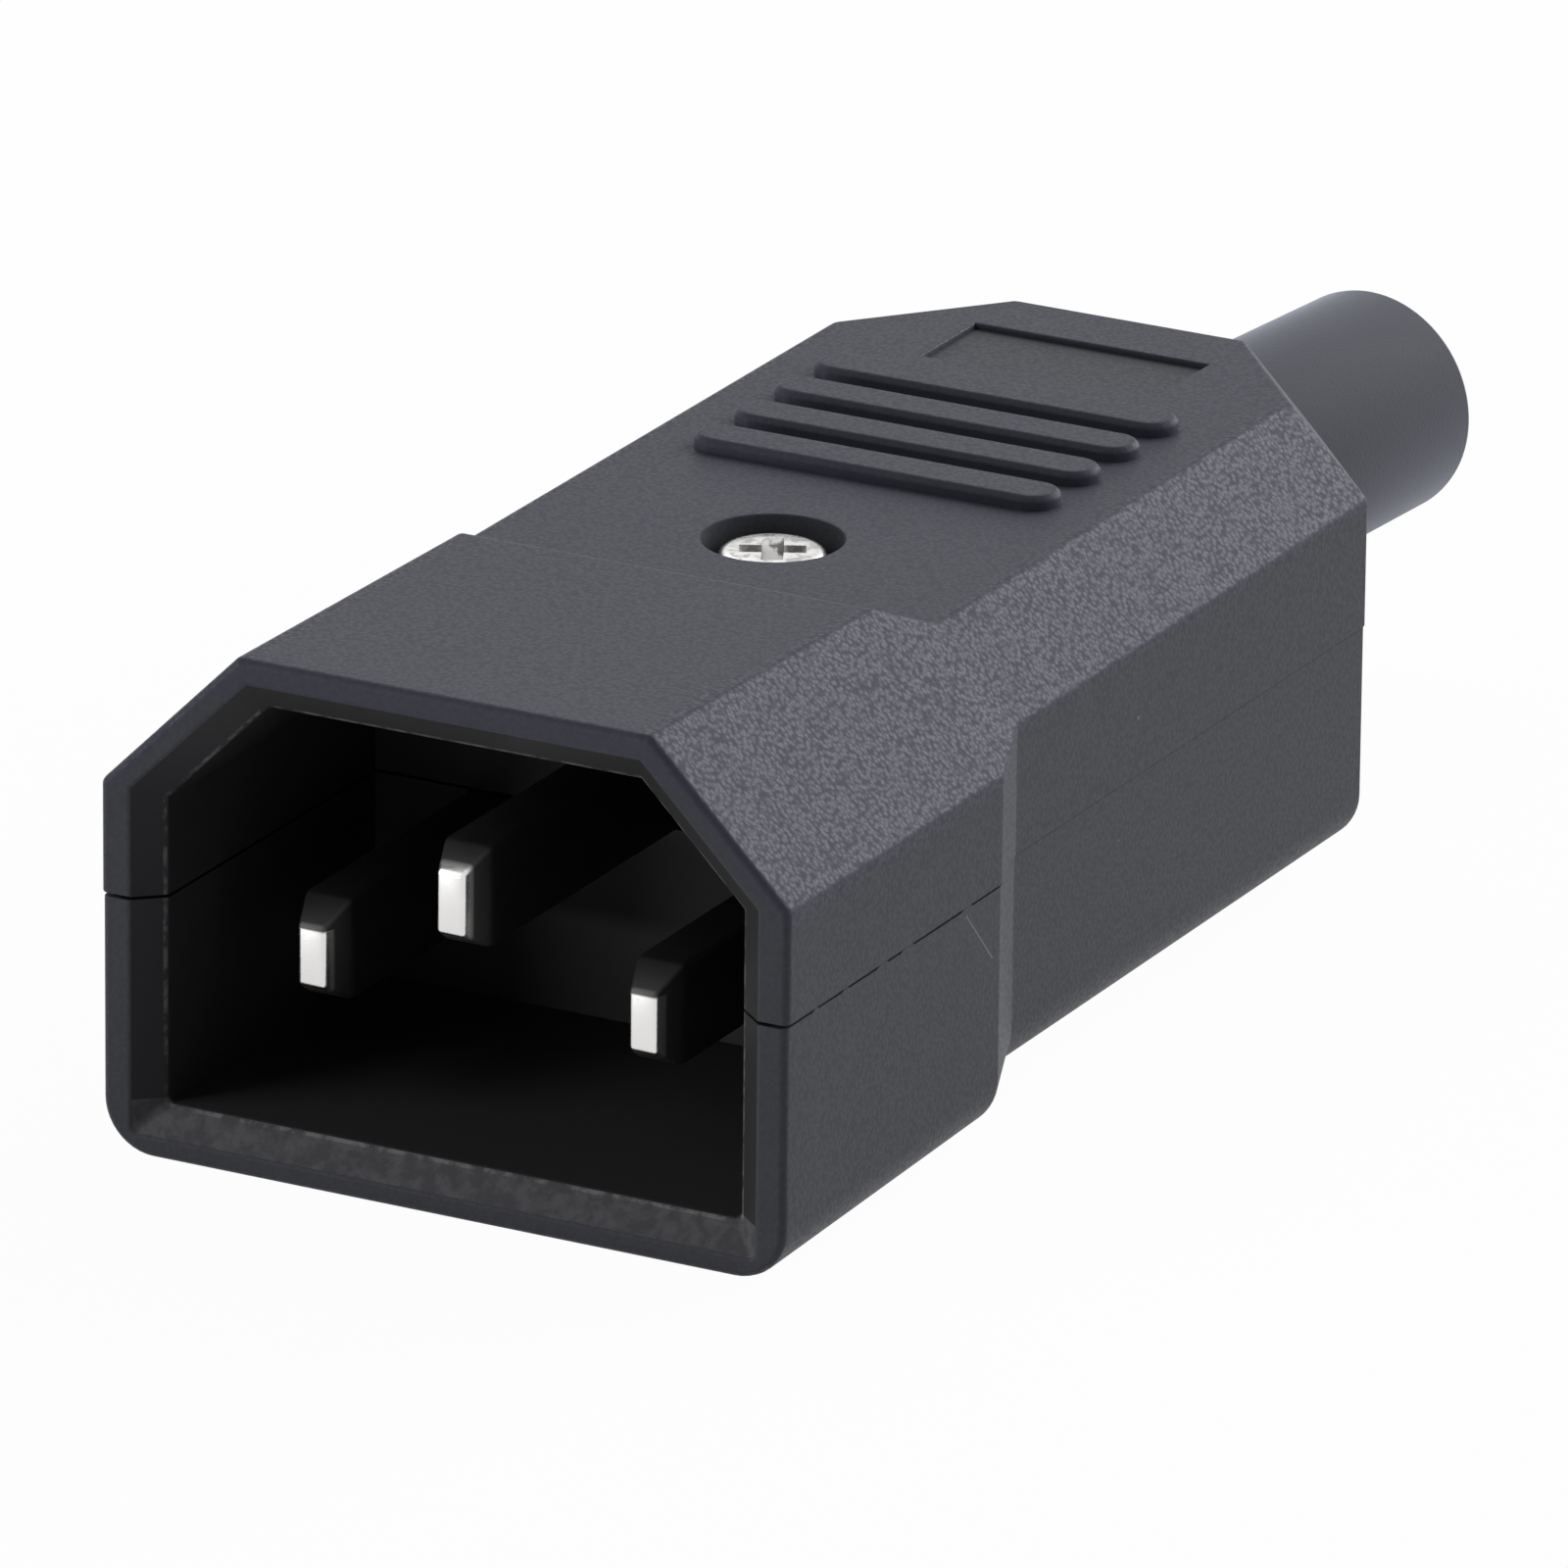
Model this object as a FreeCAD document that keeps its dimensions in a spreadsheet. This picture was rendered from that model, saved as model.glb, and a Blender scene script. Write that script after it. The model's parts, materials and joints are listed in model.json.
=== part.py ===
import FreeCAD
import Part
import Sketcher

import math
import os
from types import SimpleNamespace

# A rewireable three-pin plug for appliance cords: two moulded half shells closed by one screw,
# three flat pins with screw terminals, a cord clamp and a soft cord boot.
# X runs across the mating face, Y from that face to the rear, Z up. The origin is the middle of
# the mating face, level with the parting plane of the shells. Millimetres and degrees.

SIZES = {
    # Mating cavity, which a standard connector fills
    "cavity_half_width": 12.1,
    "cavity_half_height": 8.2,
    "cavity_chamfer": 4.3,
    "cavity_corner": 0.3,
    "cavity_depth": 16.7,
    "mouth_bevel_width": 1.15,
    "mouth_bevel_depth": 1.0,
    # Shroud around that cavity, outside
    "shroud_length": 17.2,
    "shroud_side_wall": 2.36,
    "shroud_top_wall": 2.1,
    "shroud_bottom_wall": 1.95,
    "shroud_chamfer": 5.82,
    "lower_corner": 2.1,
    "shroud_side_draft": 0.1,
    "shroud_top_draft": 0.35,
    "shroud_bottom_draft": 0.28,
    "shroud_end_chamfer": 5.6,
    "ramp_length": 2.95,
    # Rear body, outside
    "body_length": 55.65,
    "rear_half_width": 13.38,
    "rear_top": 8.65,
    "rear_bottom": 8.95,
    "rear_chamfer": 3.42,
    "tail_length": 6.0,
    "tail_half_width": 8.3,
    "edge_radius": 0.4,
    # Parting line
    "parting_gap": 0.12,
    "parting_setback": 0.06,
    "tongue_thickness": 0.75,
    "tongue_height": 1.2,
    "tongue_root": 1.0,
    "tongue_setback": 0.45,
    "tongue_clearance": 0.1,
    # Wiring chamber
    "bulkhead_thickness": 1.8,
    "wall": 1.7,
    "rear_wall": 2.4,
    "chamber_corner": 0.8,
    # Pins
    "pin_thickness": 2.0,
    "pin_height": 4.0,
    "pin_spacing": 14.0,
    "live_tip": 2.7,
    "earth_tip": 0.7,
    "tip_taper": 1.4,
    "tip_thickness": 1.1,
    "tip_height": 2.4,
    "slot_clearance": 0.1,
    # Terminals
    "pad_thickness": 1.5,
    "pad_width": 6.0,
    "live_pad_length": 7.0,
    "earth_pad_length": 4.6,
    "plate_width": 5.6,
    "plate_length": 4.2,
    "plate_thickness": 1.0,
    "seat_stop_thickness": 1.2,
    "seat_stop_height": 1.4,
    # Terminal screws and clamp screws
    "terminal_screw_radius": 1.25,
    "terminal_screw_length": 5.0,
    "terminal_head_radius": 2.1,
    "terminal_head_height": 1.6,
    "thread_clearance": 0.05,
    "hole_clearance": 0.2,
    "tip_clearance": 0.4,
    # Cover screw and its tower
    "cover_screw_radius": 1.25,
    "cover_screw_length": 12.0,
    "cover_head_radius": 2.1,
    "cover_head_height": 1.6,
    "cover_head_sink": 0.45,
    "counterbore_radius": 2.75,
    "counterbore_wall": 1.0,
    "counterbore_floor": 1.2,
    "tower_radius": 2.4,
    "tower_gap": 0.2,
    # Grip ribs and marking panel on the upper shell
    "rib_count": 4,
    "rib_pitch": 3.28,
    "rib_thickness": 2.15,
    "rib_half_length": 7.8,
    "rib_height": 0.57,
    "rib_chamfer": 0.2,
    "rib_panel_gap": 3.59,
    "panel_half_width": 5.1,
    "panel_length": 4.5,
    "panel_depth": 0.25,
    "panel_rear_margin": 3.45,
    # Cord boot
    "boot_radius": 4.7,
    "boot_bore_radius": 3.25,
    "boot_clearance": 0.15,
    "boot_flange_radius": 6.1,
    "boot_flange_thickness": 1.8,
    "boot_bend_angle": 5.2,
    "boot_bend_radius": 50.0,
    "boot_tail_length": 14.3,
    "boot_stop_thickness": 1.2,
    # Cord clamp
    "clamp_stop_gap": 1.76,
    "clamp_width": 4.5,
    "clamp_end_margin": 2.4,
    "clamp_thickness": 2.2,
    "clamp_seat_drop": 1.0,
    "clamp_cord_radius": 3.35,
    "clamp_head_gap": 0.1,
    "clamp_screw_length": 8.0,
    "clamp_boss_radius": 2.4,
    "saddle_thickness": 2.4,
}

# Length by which a cutting solid stands past the face that it cuts
OVERCUT = 1.0
# A face set in by the same distance on both legs of a 45 degree corner shortens the corner's leg
# by this share of that distance
LEG_SHARE = 2.0 - math.sqrt(2.0)
# Share of its radius by which a rounding reaches along each side of a 135 degree corner, and the
# part of a slanted length that falls on each axis
ROUNDING_REACH = math.tan(math.radians(22.5))
SLANT_SHARE = math.sqrt(0.5)

UPRIGHT = FreeCAD.Rotation()
ALONG_Y = FreeCAD.Rotation(FreeCAD.Vector(1, 0, 0), -90)


class Size:
    """A length or angle: its number, and the sheet expression that drives it."""

    def __init__(self, number, text):
        self.number = float(number)
        self.text = text

    def __add__(self, other):
        other = as_size(other)
        return Size(self.number + other.number, f"({self.text} + {other.text})")

    def __sub__(self, other):
        other = as_size(other)
        return Size(self.number - other.number, f"({self.text} - {other.text})")

    def __mul__(self, other):
        other = as_size(other)
        return Size(self.number * other.number, f"({self.text} * {other.text})")

    def __truediv__(self, other):
        other = as_size(other)
        return Size(self.number / other.number, f"({self.text} / {other.text})")

    def __radd__(self, other):
        return as_size(other) + self

    def __rsub__(self, other):
        return as_size(other) - self

    def __rmul__(self, other):
        return as_size(other) * self

    def __neg__(self):
        return self * -1


def as_size(value):
    """Turns a plain number into a Size."""
    return value if isinstance(value, Size) else Size(value, f"({float(value)!r})")


def root(size):
    return Size(math.sqrt(size.number), f"sqrt({size.text})")


def sine(angle):
    return Size(math.sin(math.radians(angle.number)), f"sin({angle.text} * 1 deg)")


def cosine(angle):
    return Size(math.cos(math.radians(angle.number)), f"cos({angle.text} * 1 deg)")


def tangent(angle):
    return Size(math.tan(math.radians(angle.number)), f"tan({angle.text} * 1 deg)")


# The document and its sheet of driving sizes

doc = FreeCAD.newDocument("rewireable_plug")
sheet = doc.addObject("Spreadsheet::Sheet", "sizes")
for row, (alias, number) in enumerate(SIZES.items(), start=1):
    sheet.set(f"A{row}", alias)
    sheet.set(f"B{row}", str(number))
    sheet.setAlias(f"B{row}", alias)
doc.recompute()
s = SimpleNamespace(**{alias: Size(number, f"sizes.{alias}") for alias, number in SIZES.items()})


# Bound primitives and booleans

def bind(thing, path, size):
    thing.setExpression(path, as_size(size).text)


def bind_angle(thing, angle, size):
    thing.setExpression(f"Placement.Rotation.{angle}", f"{as_size(size).text} * 1 deg")


def place(thing, x, y, z):
    for axis, size in zip("xyz", (x, y, z)):
        bind(thing, f"Placement.Base.{axis}", size)


def block(name, low, high):
    """A box between two corners."""
    box = doc.addObject("Part::Box", name)
    for side, first, last in zip(("Length", "Width", "Height"), low, high):
        bind(box, side, as_size(last) - first)
    place(box, *low)
    return box


def tapered_block(name, low, high, low_end):
    """A box between two corners whose end at low Y is the smaller rectangle given as (x, z) corners."""
    wedge = doc.addObject("Part::Wedge", name)
    (first_x, first_z), (last_x, last_z) = low_end
    limits = {
        "Xmin": first_x,
        "Xmax": last_x,
        "Ymin": low[1],
        "Ymax": high[1],
        "Zmin": first_z,
        "Zmax": last_z,
        "X2min": low[0],
        "X2max": high[0],
        "Z2min": low[2],
        "Z2max": high[2],
    }
    for limit, size in limits.items():
        bind(wedge, limit, size)
    return wedge


def rod(name, start, radius, length, turn=UPRIGHT):
    """A cylinder that starts at the middle of its first end and runs along Z, or as turned."""
    cylinder = doc.addObject("Part::Cylinder", name)
    cylinder.Placement = FreeCAD.Placement(FreeCAD.Vector(), turn)
    bind(cylinder, "Radius", radius)
    bind(cylinder, "Height", length)
    place(cylinder, *start)
    return cylinder


def fused(name, shapes):
    union = doc.addObject("Part::MultiFuse", name)
    union.Shapes = shapes
    union.Refine = True
    return union


def cut(name, base, tool):
    rest = doc.addObject("Part::Cut", name)
    rest.Base = base
    rest.Tool = tool
    rest.Refine = True
    return rest


def common(name, first, second):
    shared = doc.addObject("Part::MultiCommon", name)
    shared.Shapes = [first, second]
    return shared


# Sketches and the features made from them

def sketch_on(body, name, role, offset):
    """An empty sketch on one of the body's origin planes, moved along that plane's normal."""
    plane = next(feature for feature in body.Origin.OriginFeatures if feature.Role == role)
    sketch = body.newObject("Sketcher::SketchObject", name)
    sketch.AttachmentSupport = [(plane, "")]
    sketch.MapMode = "FlatFace"
    bind(sketch, "AttachmentOffset.Base.z", offset)
    return sketch


def dimension(sketch, kind, size, *points):
    size = as_size(size)
    index = sketch.addConstraint(Sketcher.Constraint(kind, *points, size.number))
    sketch.setExpression(f"Constraints[{index}]", size.text)


def arc_between(start, end, radius):
    """The short arc from start to end that turns counter-clockwise."""
    chord = end - start
    rise = math.sqrt(radius ** 2 - (chord.Length / 2) ** 2)
    left = FreeCAD.Vector(-chord.y, chord.x, 0).normalize()
    centre = (start + end) * 0.5 + left * rise
    angles = [math.atan2(point.y - centre.y, point.x - centre.x) for point in (start, end)]
    circle = Part.Circle(centre, FreeCAD.Vector(0, 0, 1), radius)
    return Part.ArcOfCircle(circle, *angles)


def draw_loop(sketch, corners):
    """Draws a closed outline counter-clockwise through corners given as (across, up).

    A corner with a third value starts an arc of that radius to the next corner.
    """
    spots = [FreeCAD.Vector(as_size(c[0]).number, as_size(c[1]).number, 0) for c in corners]
    edges = []
    for index, corner in enumerate(corners):
        start = spots[index]
        end = spots[(index + 1) % len(spots)]
        if len(corner) == 3:
            shape = arc_between(start, end, corner[2].number)
        else:
            shape = Part.LineSegment(start, end)
        edges.append(sketch.addGeometry(shape, False))
    for index, corner in enumerate(corners):
        edge = edges[index]
        sketch.addConstraint(Sketcher.Constraint("Coincident", edges[index - 1], 2, edge, 1))
        dimension(sketch, "DistanceX", corner[0], -1, 1, edge, 1)
        dimension(sketch, "DistanceY", corner[1], -1, 1, edge, 1)
        if len(corner) == 3:
            dimension(sketch, "Radius", corner[2], edge)


def draw_slot(sketch, straight, middle, radius):
    """Draws a slot with round ends, level with the sketch's X axis and centred on its Y axis."""
    up = FreeCAD.Vector(0, 0, 1)
    quarter = math.pi / 2
    lines = []
    ends = []
    for side in (1, -1):
        y = middle.number - radius.number * side
        first = FreeCAD.Vector(-straight.number * side, y, 0)
        last = FreeCAD.Vector(straight.number * side, y, 0)
        lines.append(sketch.addGeometry(Part.LineSegment(first, last), False))
        circle = Part.Circle(FreeCAD.Vector(last.x, middle.number, 0), up, radius.number)
        arc = Part.ArcOfCircle(circle, -quarter * side, quarter * side)
        ends.append(sketch.addGeometry(arc, False))
    for index in (0, 1):
        sketch.addConstraint(Sketcher.Constraint("Tangent", lines[index], 2, ends[index], 1))
        sketch.addConstraint(Sketcher.Constraint("Tangent", ends[index - 1], 2, lines[index], 1))
    sketch.addConstraint(Sketcher.Constraint("Horizontal", lines[0]))
    dimension(sketch, "Radius", radius, ends[0])
    dimension(sketch, "DistanceX", straight, -1, 1, ends[0], 3)
    dimension(sketch, "DistanceX", -straight, -1, 1, ends[1], 3)
    dimension(sketch, "DistanceY", middle, -1, 1, ends[0], 3)


def section(body, name, y, corners):
    """A sketch across the plug at a distance y behind the mating face."""
    sketch = sketch_on(body, name, "XZ_Plane", -as_size(y))
    draw_loop(sketch, corners)
    return sketch


def plan(body, name, z, corners):
    """A level sketch at height z."""
    sketch = sketch_on(body, name, "XY_Plane", z)
    draw_loop(sketch, corners)
    return sketch


def loft(body, name, first, second, kind="PartDesign::AdditiveLoft"):
    feature = body.newObject(kind, name)
    feature.Profile = first
    feature.Sections = [second]
    feature.Ruled = True
    return feature


def extrude(body, name, sketch, length, kind="PartDesign::Pad", reverse=False):
    feature = body.newObject(kind, name)
    feature.Profile = sketch
    feature.Reversed = reverse
    bind(feature, "Length", length)
    return feature


# Outlines of the housing

def upper_outline(half, top, chamfer, base=0.0):
    """Half of the housing's section above the parting plane: flat top, 45 degree shoulders."""
    right = [(half, base), (half, top - chamfer), (half - chamfer, top)]
    left = [(-x, z) for x, z in reversed(right)]
    return right + left


def rounded_upper_outline(half, top, chamfer, base=0.0):
    """The same section with its long edges rounded."""
    radius = s.edge_radius
    reach = radius * ROUNDING_REACH
    slant = reach * SLANT_SHARE
    shoulder = top - chamfer
    return [
        (half, base),
        (half, shoulder - reach, radius),
        (half - slant, shoulder + slant),
        (half - chamfer + slant, top - slant, radius),
        (half - chamfer - reach, top),
        (chamfer + reach - half, top, radius),
        (chamfer - slant - half, top - slant),
        (slant - half, shoulder + slant, radius),
        (-half, shoulder - reach),
        (-half, base),
    ]


def lower_outline(half, bottom, corner, base=0.0):
    """Half of the section below the parting plane: flat floor, rounded lower corners."""
    return [
        (-half, -as_size(base)),
        (-half, corner - bottom, corner),
        (corner - half, -bottom),
        (half - corner, -bottom, corner),
        (half, corner - bottom),
        (half, -as_size(base)),
    ]


half_gap = s.parting_gap / 2
shroud_half_width = s.cavity_half_width + s.shroud_side_wall
shroud_top = s.cavity_half_height + s.shroud_top_wall
shroud_bottom = s.cavity_half_height + s.shroud_bottom_wall
shroud_end_half_width = shroud_half_width - s.shroud_side_draft
shroud_end_top = shroud_top - s.shroud_top_draft
shroud_end_bottom = shroud_bottom - s.shroud_bottom_draft
ramp_end = s.shroud_length + s.ramp_length
tongue_start = ramp_end + s.tongue_setback
bulkhead_end = s.cavity_depth + s.bulkhead_thickness
chamber_end = s.body_length - s.rear_wall
ceiling = s.rear_top - s.wall
floor = s.wall - s.rear_bottom
tail_start = s.body_length - s.tail_length
tail_inset = s.rear_half_width - s.tail_half_width
tail_slant = root(s.tail_length * s.tail_length + tail_inset * tail_inset)


def inner_tail_start(inset):
    """Where the tail's slanted wall, set in from the outside, meets the side wall."""
    return tail_start - inset * (tail_slant - s.tail_length) / tail_inset


def inner_tail_half_width(inset, rear_inset):
    """Half the width between the two slanted walls where they meet the rear wall."""
    run = inset * tail_slant + (s.tail_length - rear_inset) * tail_inset
    return s.rear_half_width - run / s.tail_length


def tapered_end(body, name, start_y, start, end_y, end):
    """Lofts a straight-sided solid's last length between two outlines."""
    first = section(body, f"{name}_start", start_y, start)
    last = section(body, f"{name}_end", end_y, end)
    loft(body, name, first, last)


def outer_half(name, outside, inside, sections, cavity, mouth):
    """One half of the housing's outside, with its half of the mating cavity."""
    outlines = {place_name: outside(*values, half_gap) for place_name, values in sections.items()}
    body = doc.addObject("PartDesign::Body", name)
    front = section(body, f"{name}_front", 0.0, outlines["front"])
    shroud_end = section(body, f"{name}_shroud_end", s.shroud_length, outlines["shroud_end"])
    rear = section(body, f"{name}_rear", ramp_end, outlines["rear"])
    loft(body, f"{name}_shroud", front, shroud_end)
    loft(body, f"{name}_ramp", shroud_end, rear)
    extrude(body, f"{name}_body", rear, tail_start - ramp_end, reverse=True)
    tapered_end(body, f"{name}_tail", tail_start, outlines["rear"], s.body_length, outlines["tail"])
    opening = section(body, f"{name}_opening", 0.0, inside(*cavity))
    extrude(body, f"{name}_cavity", opening, s.cavity_depth, "PartDesign::Pocket")
    rim = section(body, f"{name}_rim", 0.0, inside(*mouth))
    throat = section(body, f"{name}_throat", s.mouth_bevel_depth, inside(*cavity))
    loft(body, f"{name}_mouth", rim, throat, "PartDesign::SubtractiveLoft")
    return body


def chamber_half(name, outline, depth, corner):
    """One half of the wiring chamber, as a solid to be cut out."""
    body = doc.addObject("PartDesign::Body", name)
    wide = outline(s.rear_half_width - s.wall, depth, corner)
    narrow = outline(inner_tail_half_width(s.wall, s.rear_wall), depth, corner)
    taper_start = inner_tail_start(s.wall)
    start = section(body, f"{name}_section", bulkhead_end, wide)
    extrude(body, f"{name}_length", start, taper_start - bulkhead_end, reverse=True)
    tapered_end(body, f"{name}_tail", taper_start, wide, chamber_end, narrow)
    return body


def chamber_prism(name, inset, start_y, low, high):
    """An upright prism on the chamber's plan outline, set in from the outside of the housing."""
    side_x = s.rear_half_width - inset
    rear_inset = s.rear_wall - s.wall + inset
    end_x = inner_tail_half_width(inset, rear_inset)
    right = [(side_x, start_y), (side_x, inner_tail_start(inset)), (end_x, s.body_length - rear_inset)]
    left = [(-x, y) for x, y in reversed(right)]
    body = doc.addObject("PartDesign::Body", name)
    sketch = plan(body, f"{name}_outline", low, right + left)
    extrude(body, f"{name}_rise", sketch, high - low)
    return body


# Cord boot and its seat, shared by both shells

boot_flange_end = chamber_end - s.boot_clearance
boot_flange_start = boot_flange_end - s.boot_flange_thickness
boot_stop_end = boot_flange_start - s.boot_clearance


def boot_seat(name):
    """Room for the boot's neck and flange, and for the cord in front of it."""
    neck = rod(
        f"{name}_neck",
        (0.0, boot_flange_start, 0.0),
        s.boot_radius + s.boot_clearance,
        s.body_length + OVERCUT - boot_flange_start,
        ALONG_Y,
    )
    flange = rod(
        f"{name}_flange",
        (0.0, boot_stop_end, 0.0),
        s.boot_flange_radius + s.boot_clearance,
        chamber_end - boot_stop_end,
        ALONG_Y,
    )
    notch = rod(
        f"{name}_notch",
        (0.0, boot_stop_end - s.boot_stop_thickness - OVERCUT, 0.0),
        s.boot_bore_radius + s.boot_clearance,
        s.boot_stop_thickness + OVERCUT * 2,
        ALONG_Y,
    )
    return [neck, flange, notch]


def boot_stop(name, outer, low, high):
    """Cross wall in front of the boot's flange, from side wall to side wall."""
    wall = block(
        f"{name}_blank",
        (-s.rear_half_width, boot_stop_end - s.boot_stop_thickness, low),
        (s.rear_half_width, boot_stop_end, high),
    )
    return common(name, outer, wall)


def boot_sleeve():
    """The sleeve's outside: a straight neck, a bend to the right and a straight tail."""
    turn = s.boot_bend_angle
    neck = rod(
        "boot_neck",
        (0.0, boot_flange_start, 0.0),
        s.boot_radius,
        s.body_length - boot_flange_start,
        ALONG_Y,
    )
    bend = doc.addObject("Part::Torus", "boot_bend")
    bind(bend, "Radius1", s.boot_bend_radius)
    bind(bend, "Radius2", s.boot_radius)
    bind(bend, "Angle3", turn)
    bind_angle(bend, "Yaw", 180 - turn)
    place(bend, s.boot_bend_radius, s.body_length, 0.0)
    tail_x = s.boot_bend_radius - s.boot_bend_radius * cosine(turn)
    tail_y = s.body_length + s.boot_bend_radius * sine(turn)
    tail = rod("boot_tail", (tail_x, tail_y, 0.0), s.boot_radius, s.boot_tail_length, ALONG_Y)
    bind_angle(tail, "Yaw", -turn)
    return [neck, bend, tail]


def boot_bore():
    """Two straight bores that meet where the lines of the neck and of the tail cross."""
    crossing = s.boot_bend_radius * tangent(s.boot_bend_angle / 2)
    crossing_y = s.body_length + crossing
    # The neck's bore runs on, so that no wedge is left between the bores' slanted ends
    overlap = s.boot_bore_radius / 2
    neck = rod(
        "boot_neck_bore",
        (0.0, boot_flange_start - OVERCUT, 0.0),
        s.boot_bore_radius,
        crossing_y - boot_flange_start + OVERCUT + overlap,
        ALONG_Y,
    )
    tail = rod(
        "boot_tail_bore",
        (0.0, crossing_y, 0.0),
        s.boot_bore_radius,
        crossing + s.boot_tail_length + OVERCUT,
        ALONG_Y,
    )
    bind_angle(tail, "Yaw", -s.boot_bend_angle)
    return [neck, tail]


def make_cord_boot():
    flange = rod(
        "boot_flange",
        (0.0, boot_flange_start, 0.0),
        s.boot_flange_radius,
        s.boot_flange_thickness,
        ALONG_Y,
    )
    outside = fused("boot_outside", [flange] + boot_sleeve())
    return cut("cord_boot", outside, fused("boot_bore", boot_bore()))


# Contacts with their terminals

LIVE_SIDE = -1
NEUTRAL_SIDE = 1
pad_start = bulkhead_end + s.slot_clearance

# Each terminal: middle of the pin across the face, underside of the pin, tip, pad length
TERMINALS = {
    "live": (s.pin_spacing / 2 * LIVE_SIDE, -s.pin_height, s.live_tip, s.live_pad_length),
    "neutral": (s.pin_spacing / 2 * NEUTRAL_SIDE, -s.pin_height, s.live_tip, s.live_pad_length),
    "earth": (as_size(0.0), as_size(0.0), s.earth_tip, s.earth_pad_length),
}


def terminal_axis(terminal):
    """Middle of a terminal's screw, seen from above."""
    x, _, _, pad_length = TERMINALS[terminal]
    return x, pad_start + pad_length / 2


cover_screw_y = pad_start + s.earth_pad_length + s.tower_gap + s.tower_radius


def make_contact(terminal):
    """A flat pin with a tapered tip, and a level pad with the terminal screw's hole."""
    x, underside, tip, pad_length = TERMINALS[terminal]
    name = f"{terminal}_contact"
    half = s.pin_thickness / 2
    top = underside + s.pin_height
    middle = underside + s.pin_height / 2
    blade_start = tip + s.tip_taper
    point = tapered_block(
        f"{name}_tip",
        (x - half, tip, underside),
        (x + half, blade_start, top),
        (
            (x - s.tip_thickness / 2, middle - s.tip_height / 2),
            (x + s.tip_thickness / 2, middle + s.tip_height / 2),
        ),
    )
    blade = block(
        f"{name}_blade",
        (x - half, blade_start, underside),
        (x + half, pad_start + s.slot_clearance, top),
    )
    pad = block(
        f"{name}_pad",
        (x - s.pad_width / 2, pad_start, underside),
        (x + s.pad_width / 2, pad_start + pad_length, underside + s.pad_thickness),
    )
    hole = rod(
        f"{name}_hole",
        (*terminal_axis(terminal), underside - OVERCUT),
        s.terminal_screw_radius + s.thread_clearance,
        s.pad_thickness + OVERCUT * 2,
    )
    return cut(name, fused(f"{name}_blank", [point, blade, pad]), hole)


def plate_underside(terminal):
    return TERMINALS[terminal][1] + s.pad_thickness


def make_clamp_plate(terminal):
    """Square pressure plate between the pad and the screw's head."""
    x, y = terminal_axis(terminal)
    low = plate_underside(terminal)
    name = f"{terminal}_clamp_plate"
    plate = block(
        f"{name}_blank",
        (x - s.plate_width / 2, y - s.plate_length / 2, low),
        (x + s.plate_width / 2, y + s.plate_length / 2, low + s.plate_thickness),
    )
    hole = rod(
        f"{name}_hole",
        (x, y, low - OVERCUT),
        s.terminal_screw_radius + s.hole_clearance,
        s.plate_thickness + OVERCUT * 2,
    )
    return cut(name, plate, hole)


def screw(name, seat, shank_radius, length, head_radius, head_height):
    """A plain screw whose head stands on the seat point, shank down."""
    x, y, z = seat
    head = rod(f"{name}_head", seat, head_radius, head_height)
    shank = rod(f"{name}_shank", (x, y, z - length), shank_radius, length)
    return fused(name, [head, shank])


def clamp_style_screw(name, seat, length):
    return screw(name, seat, s.terminal_screw_radius, length, s.terminal_head_radius, s.terminal_head_height)


def make_terminal_screws():
    screws = []
    for terminal in TERMINALS:
        seat = (*terminal_axis(terminal), plate_underside(terminal) + s.plate_thickness)
        screws.append(clamp_style_screw(f"{terminal}_terminal_screw", seat, s.terminal_screw_length))
    return fused("terminal_screws", screws)


# Cord clamp

clamp_low = -s.clamp_seat_drop
clamp_high = clamp_low + s.clamp_thickness
clamp_y = boot_stop_end - s.boot_stop_thickness - s.clamp_stop_gap - s.clamp_width / 2
clamp_start = clamp_y - s.clamp_width / 2
arch_radius = s.clamp_cord_radius + s.clamp_thickness
clamp_screw_x = arch_radius + s.clamp_head_gap + s.terminal_head_radius
clamp_half_length = clamp_screw_x + s.clamp_end_margin
CLAMP_SIDES = {"left": -1, "right": 1}


def make_cord_clamp():
    """Bar with an arch over the cord and a screw hole at each end."""
    bar = block(
        "clamp_bar",
        (-clamp_half_length, clamp_start, clamp_low),
        (clamp_half_length, clamp_start + s.clamp_width, clamp_high),
    )
    arch = rod("clamp_arch", (0.0, clamp_start, 0.0), arch_radius, s.clamp_width, ALONG_Y)
    above = block(
        "clamp_arch_limit",
        (-arch_radius, clamp_start, clamp_low),
        (arch_radius, clamp_start + s.clamp_width, arch_radius),
    )
    outside = fused("clamp_outside", [bar, common("clamp_arch_top", arch, above)])
    cord_room = rod(
        "clamp_cord_room",
        (0.0, clamp_start - OVERCUT, 0.0),
        s.clamp_cord_radius,
        s.clamp_width + OVERCUT * 2,
        ALONG_Y,
    )
    holes = [
        rod(
            f"clamp_hole_{side}",
            (clamp_screw_x * sign, clamp_y, clamp_low - OVERCUT),
            s.terminal_screw_radius + s.hole_clearance,
            s.clamp_thickness + OVERCUT * 2,
        )
        for side, sign in CLAMP_SIDES.items()
    ]
    return cut("cord_clamp", outside, fused("clamp_openings", [cord_room] + holes))


def make_cord_clamp_screws():
    screws = []
    for side, sign in CLAMP_SIDES.items():
        seat = (clamp_screw_x * sign, clamp_y, clamp_high)
        screws.append(clamp_style_screw(f"clamp_screw_{side}", seat, s.clamp_screw_length))
    return fused("cord_clamp_screws", screws)


# Cover screw

cover_seat = s.rear_top - s.cover_head_sink - s.cover_head_height
cover_tip = cover_seat - s.cover_screw_length


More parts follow.
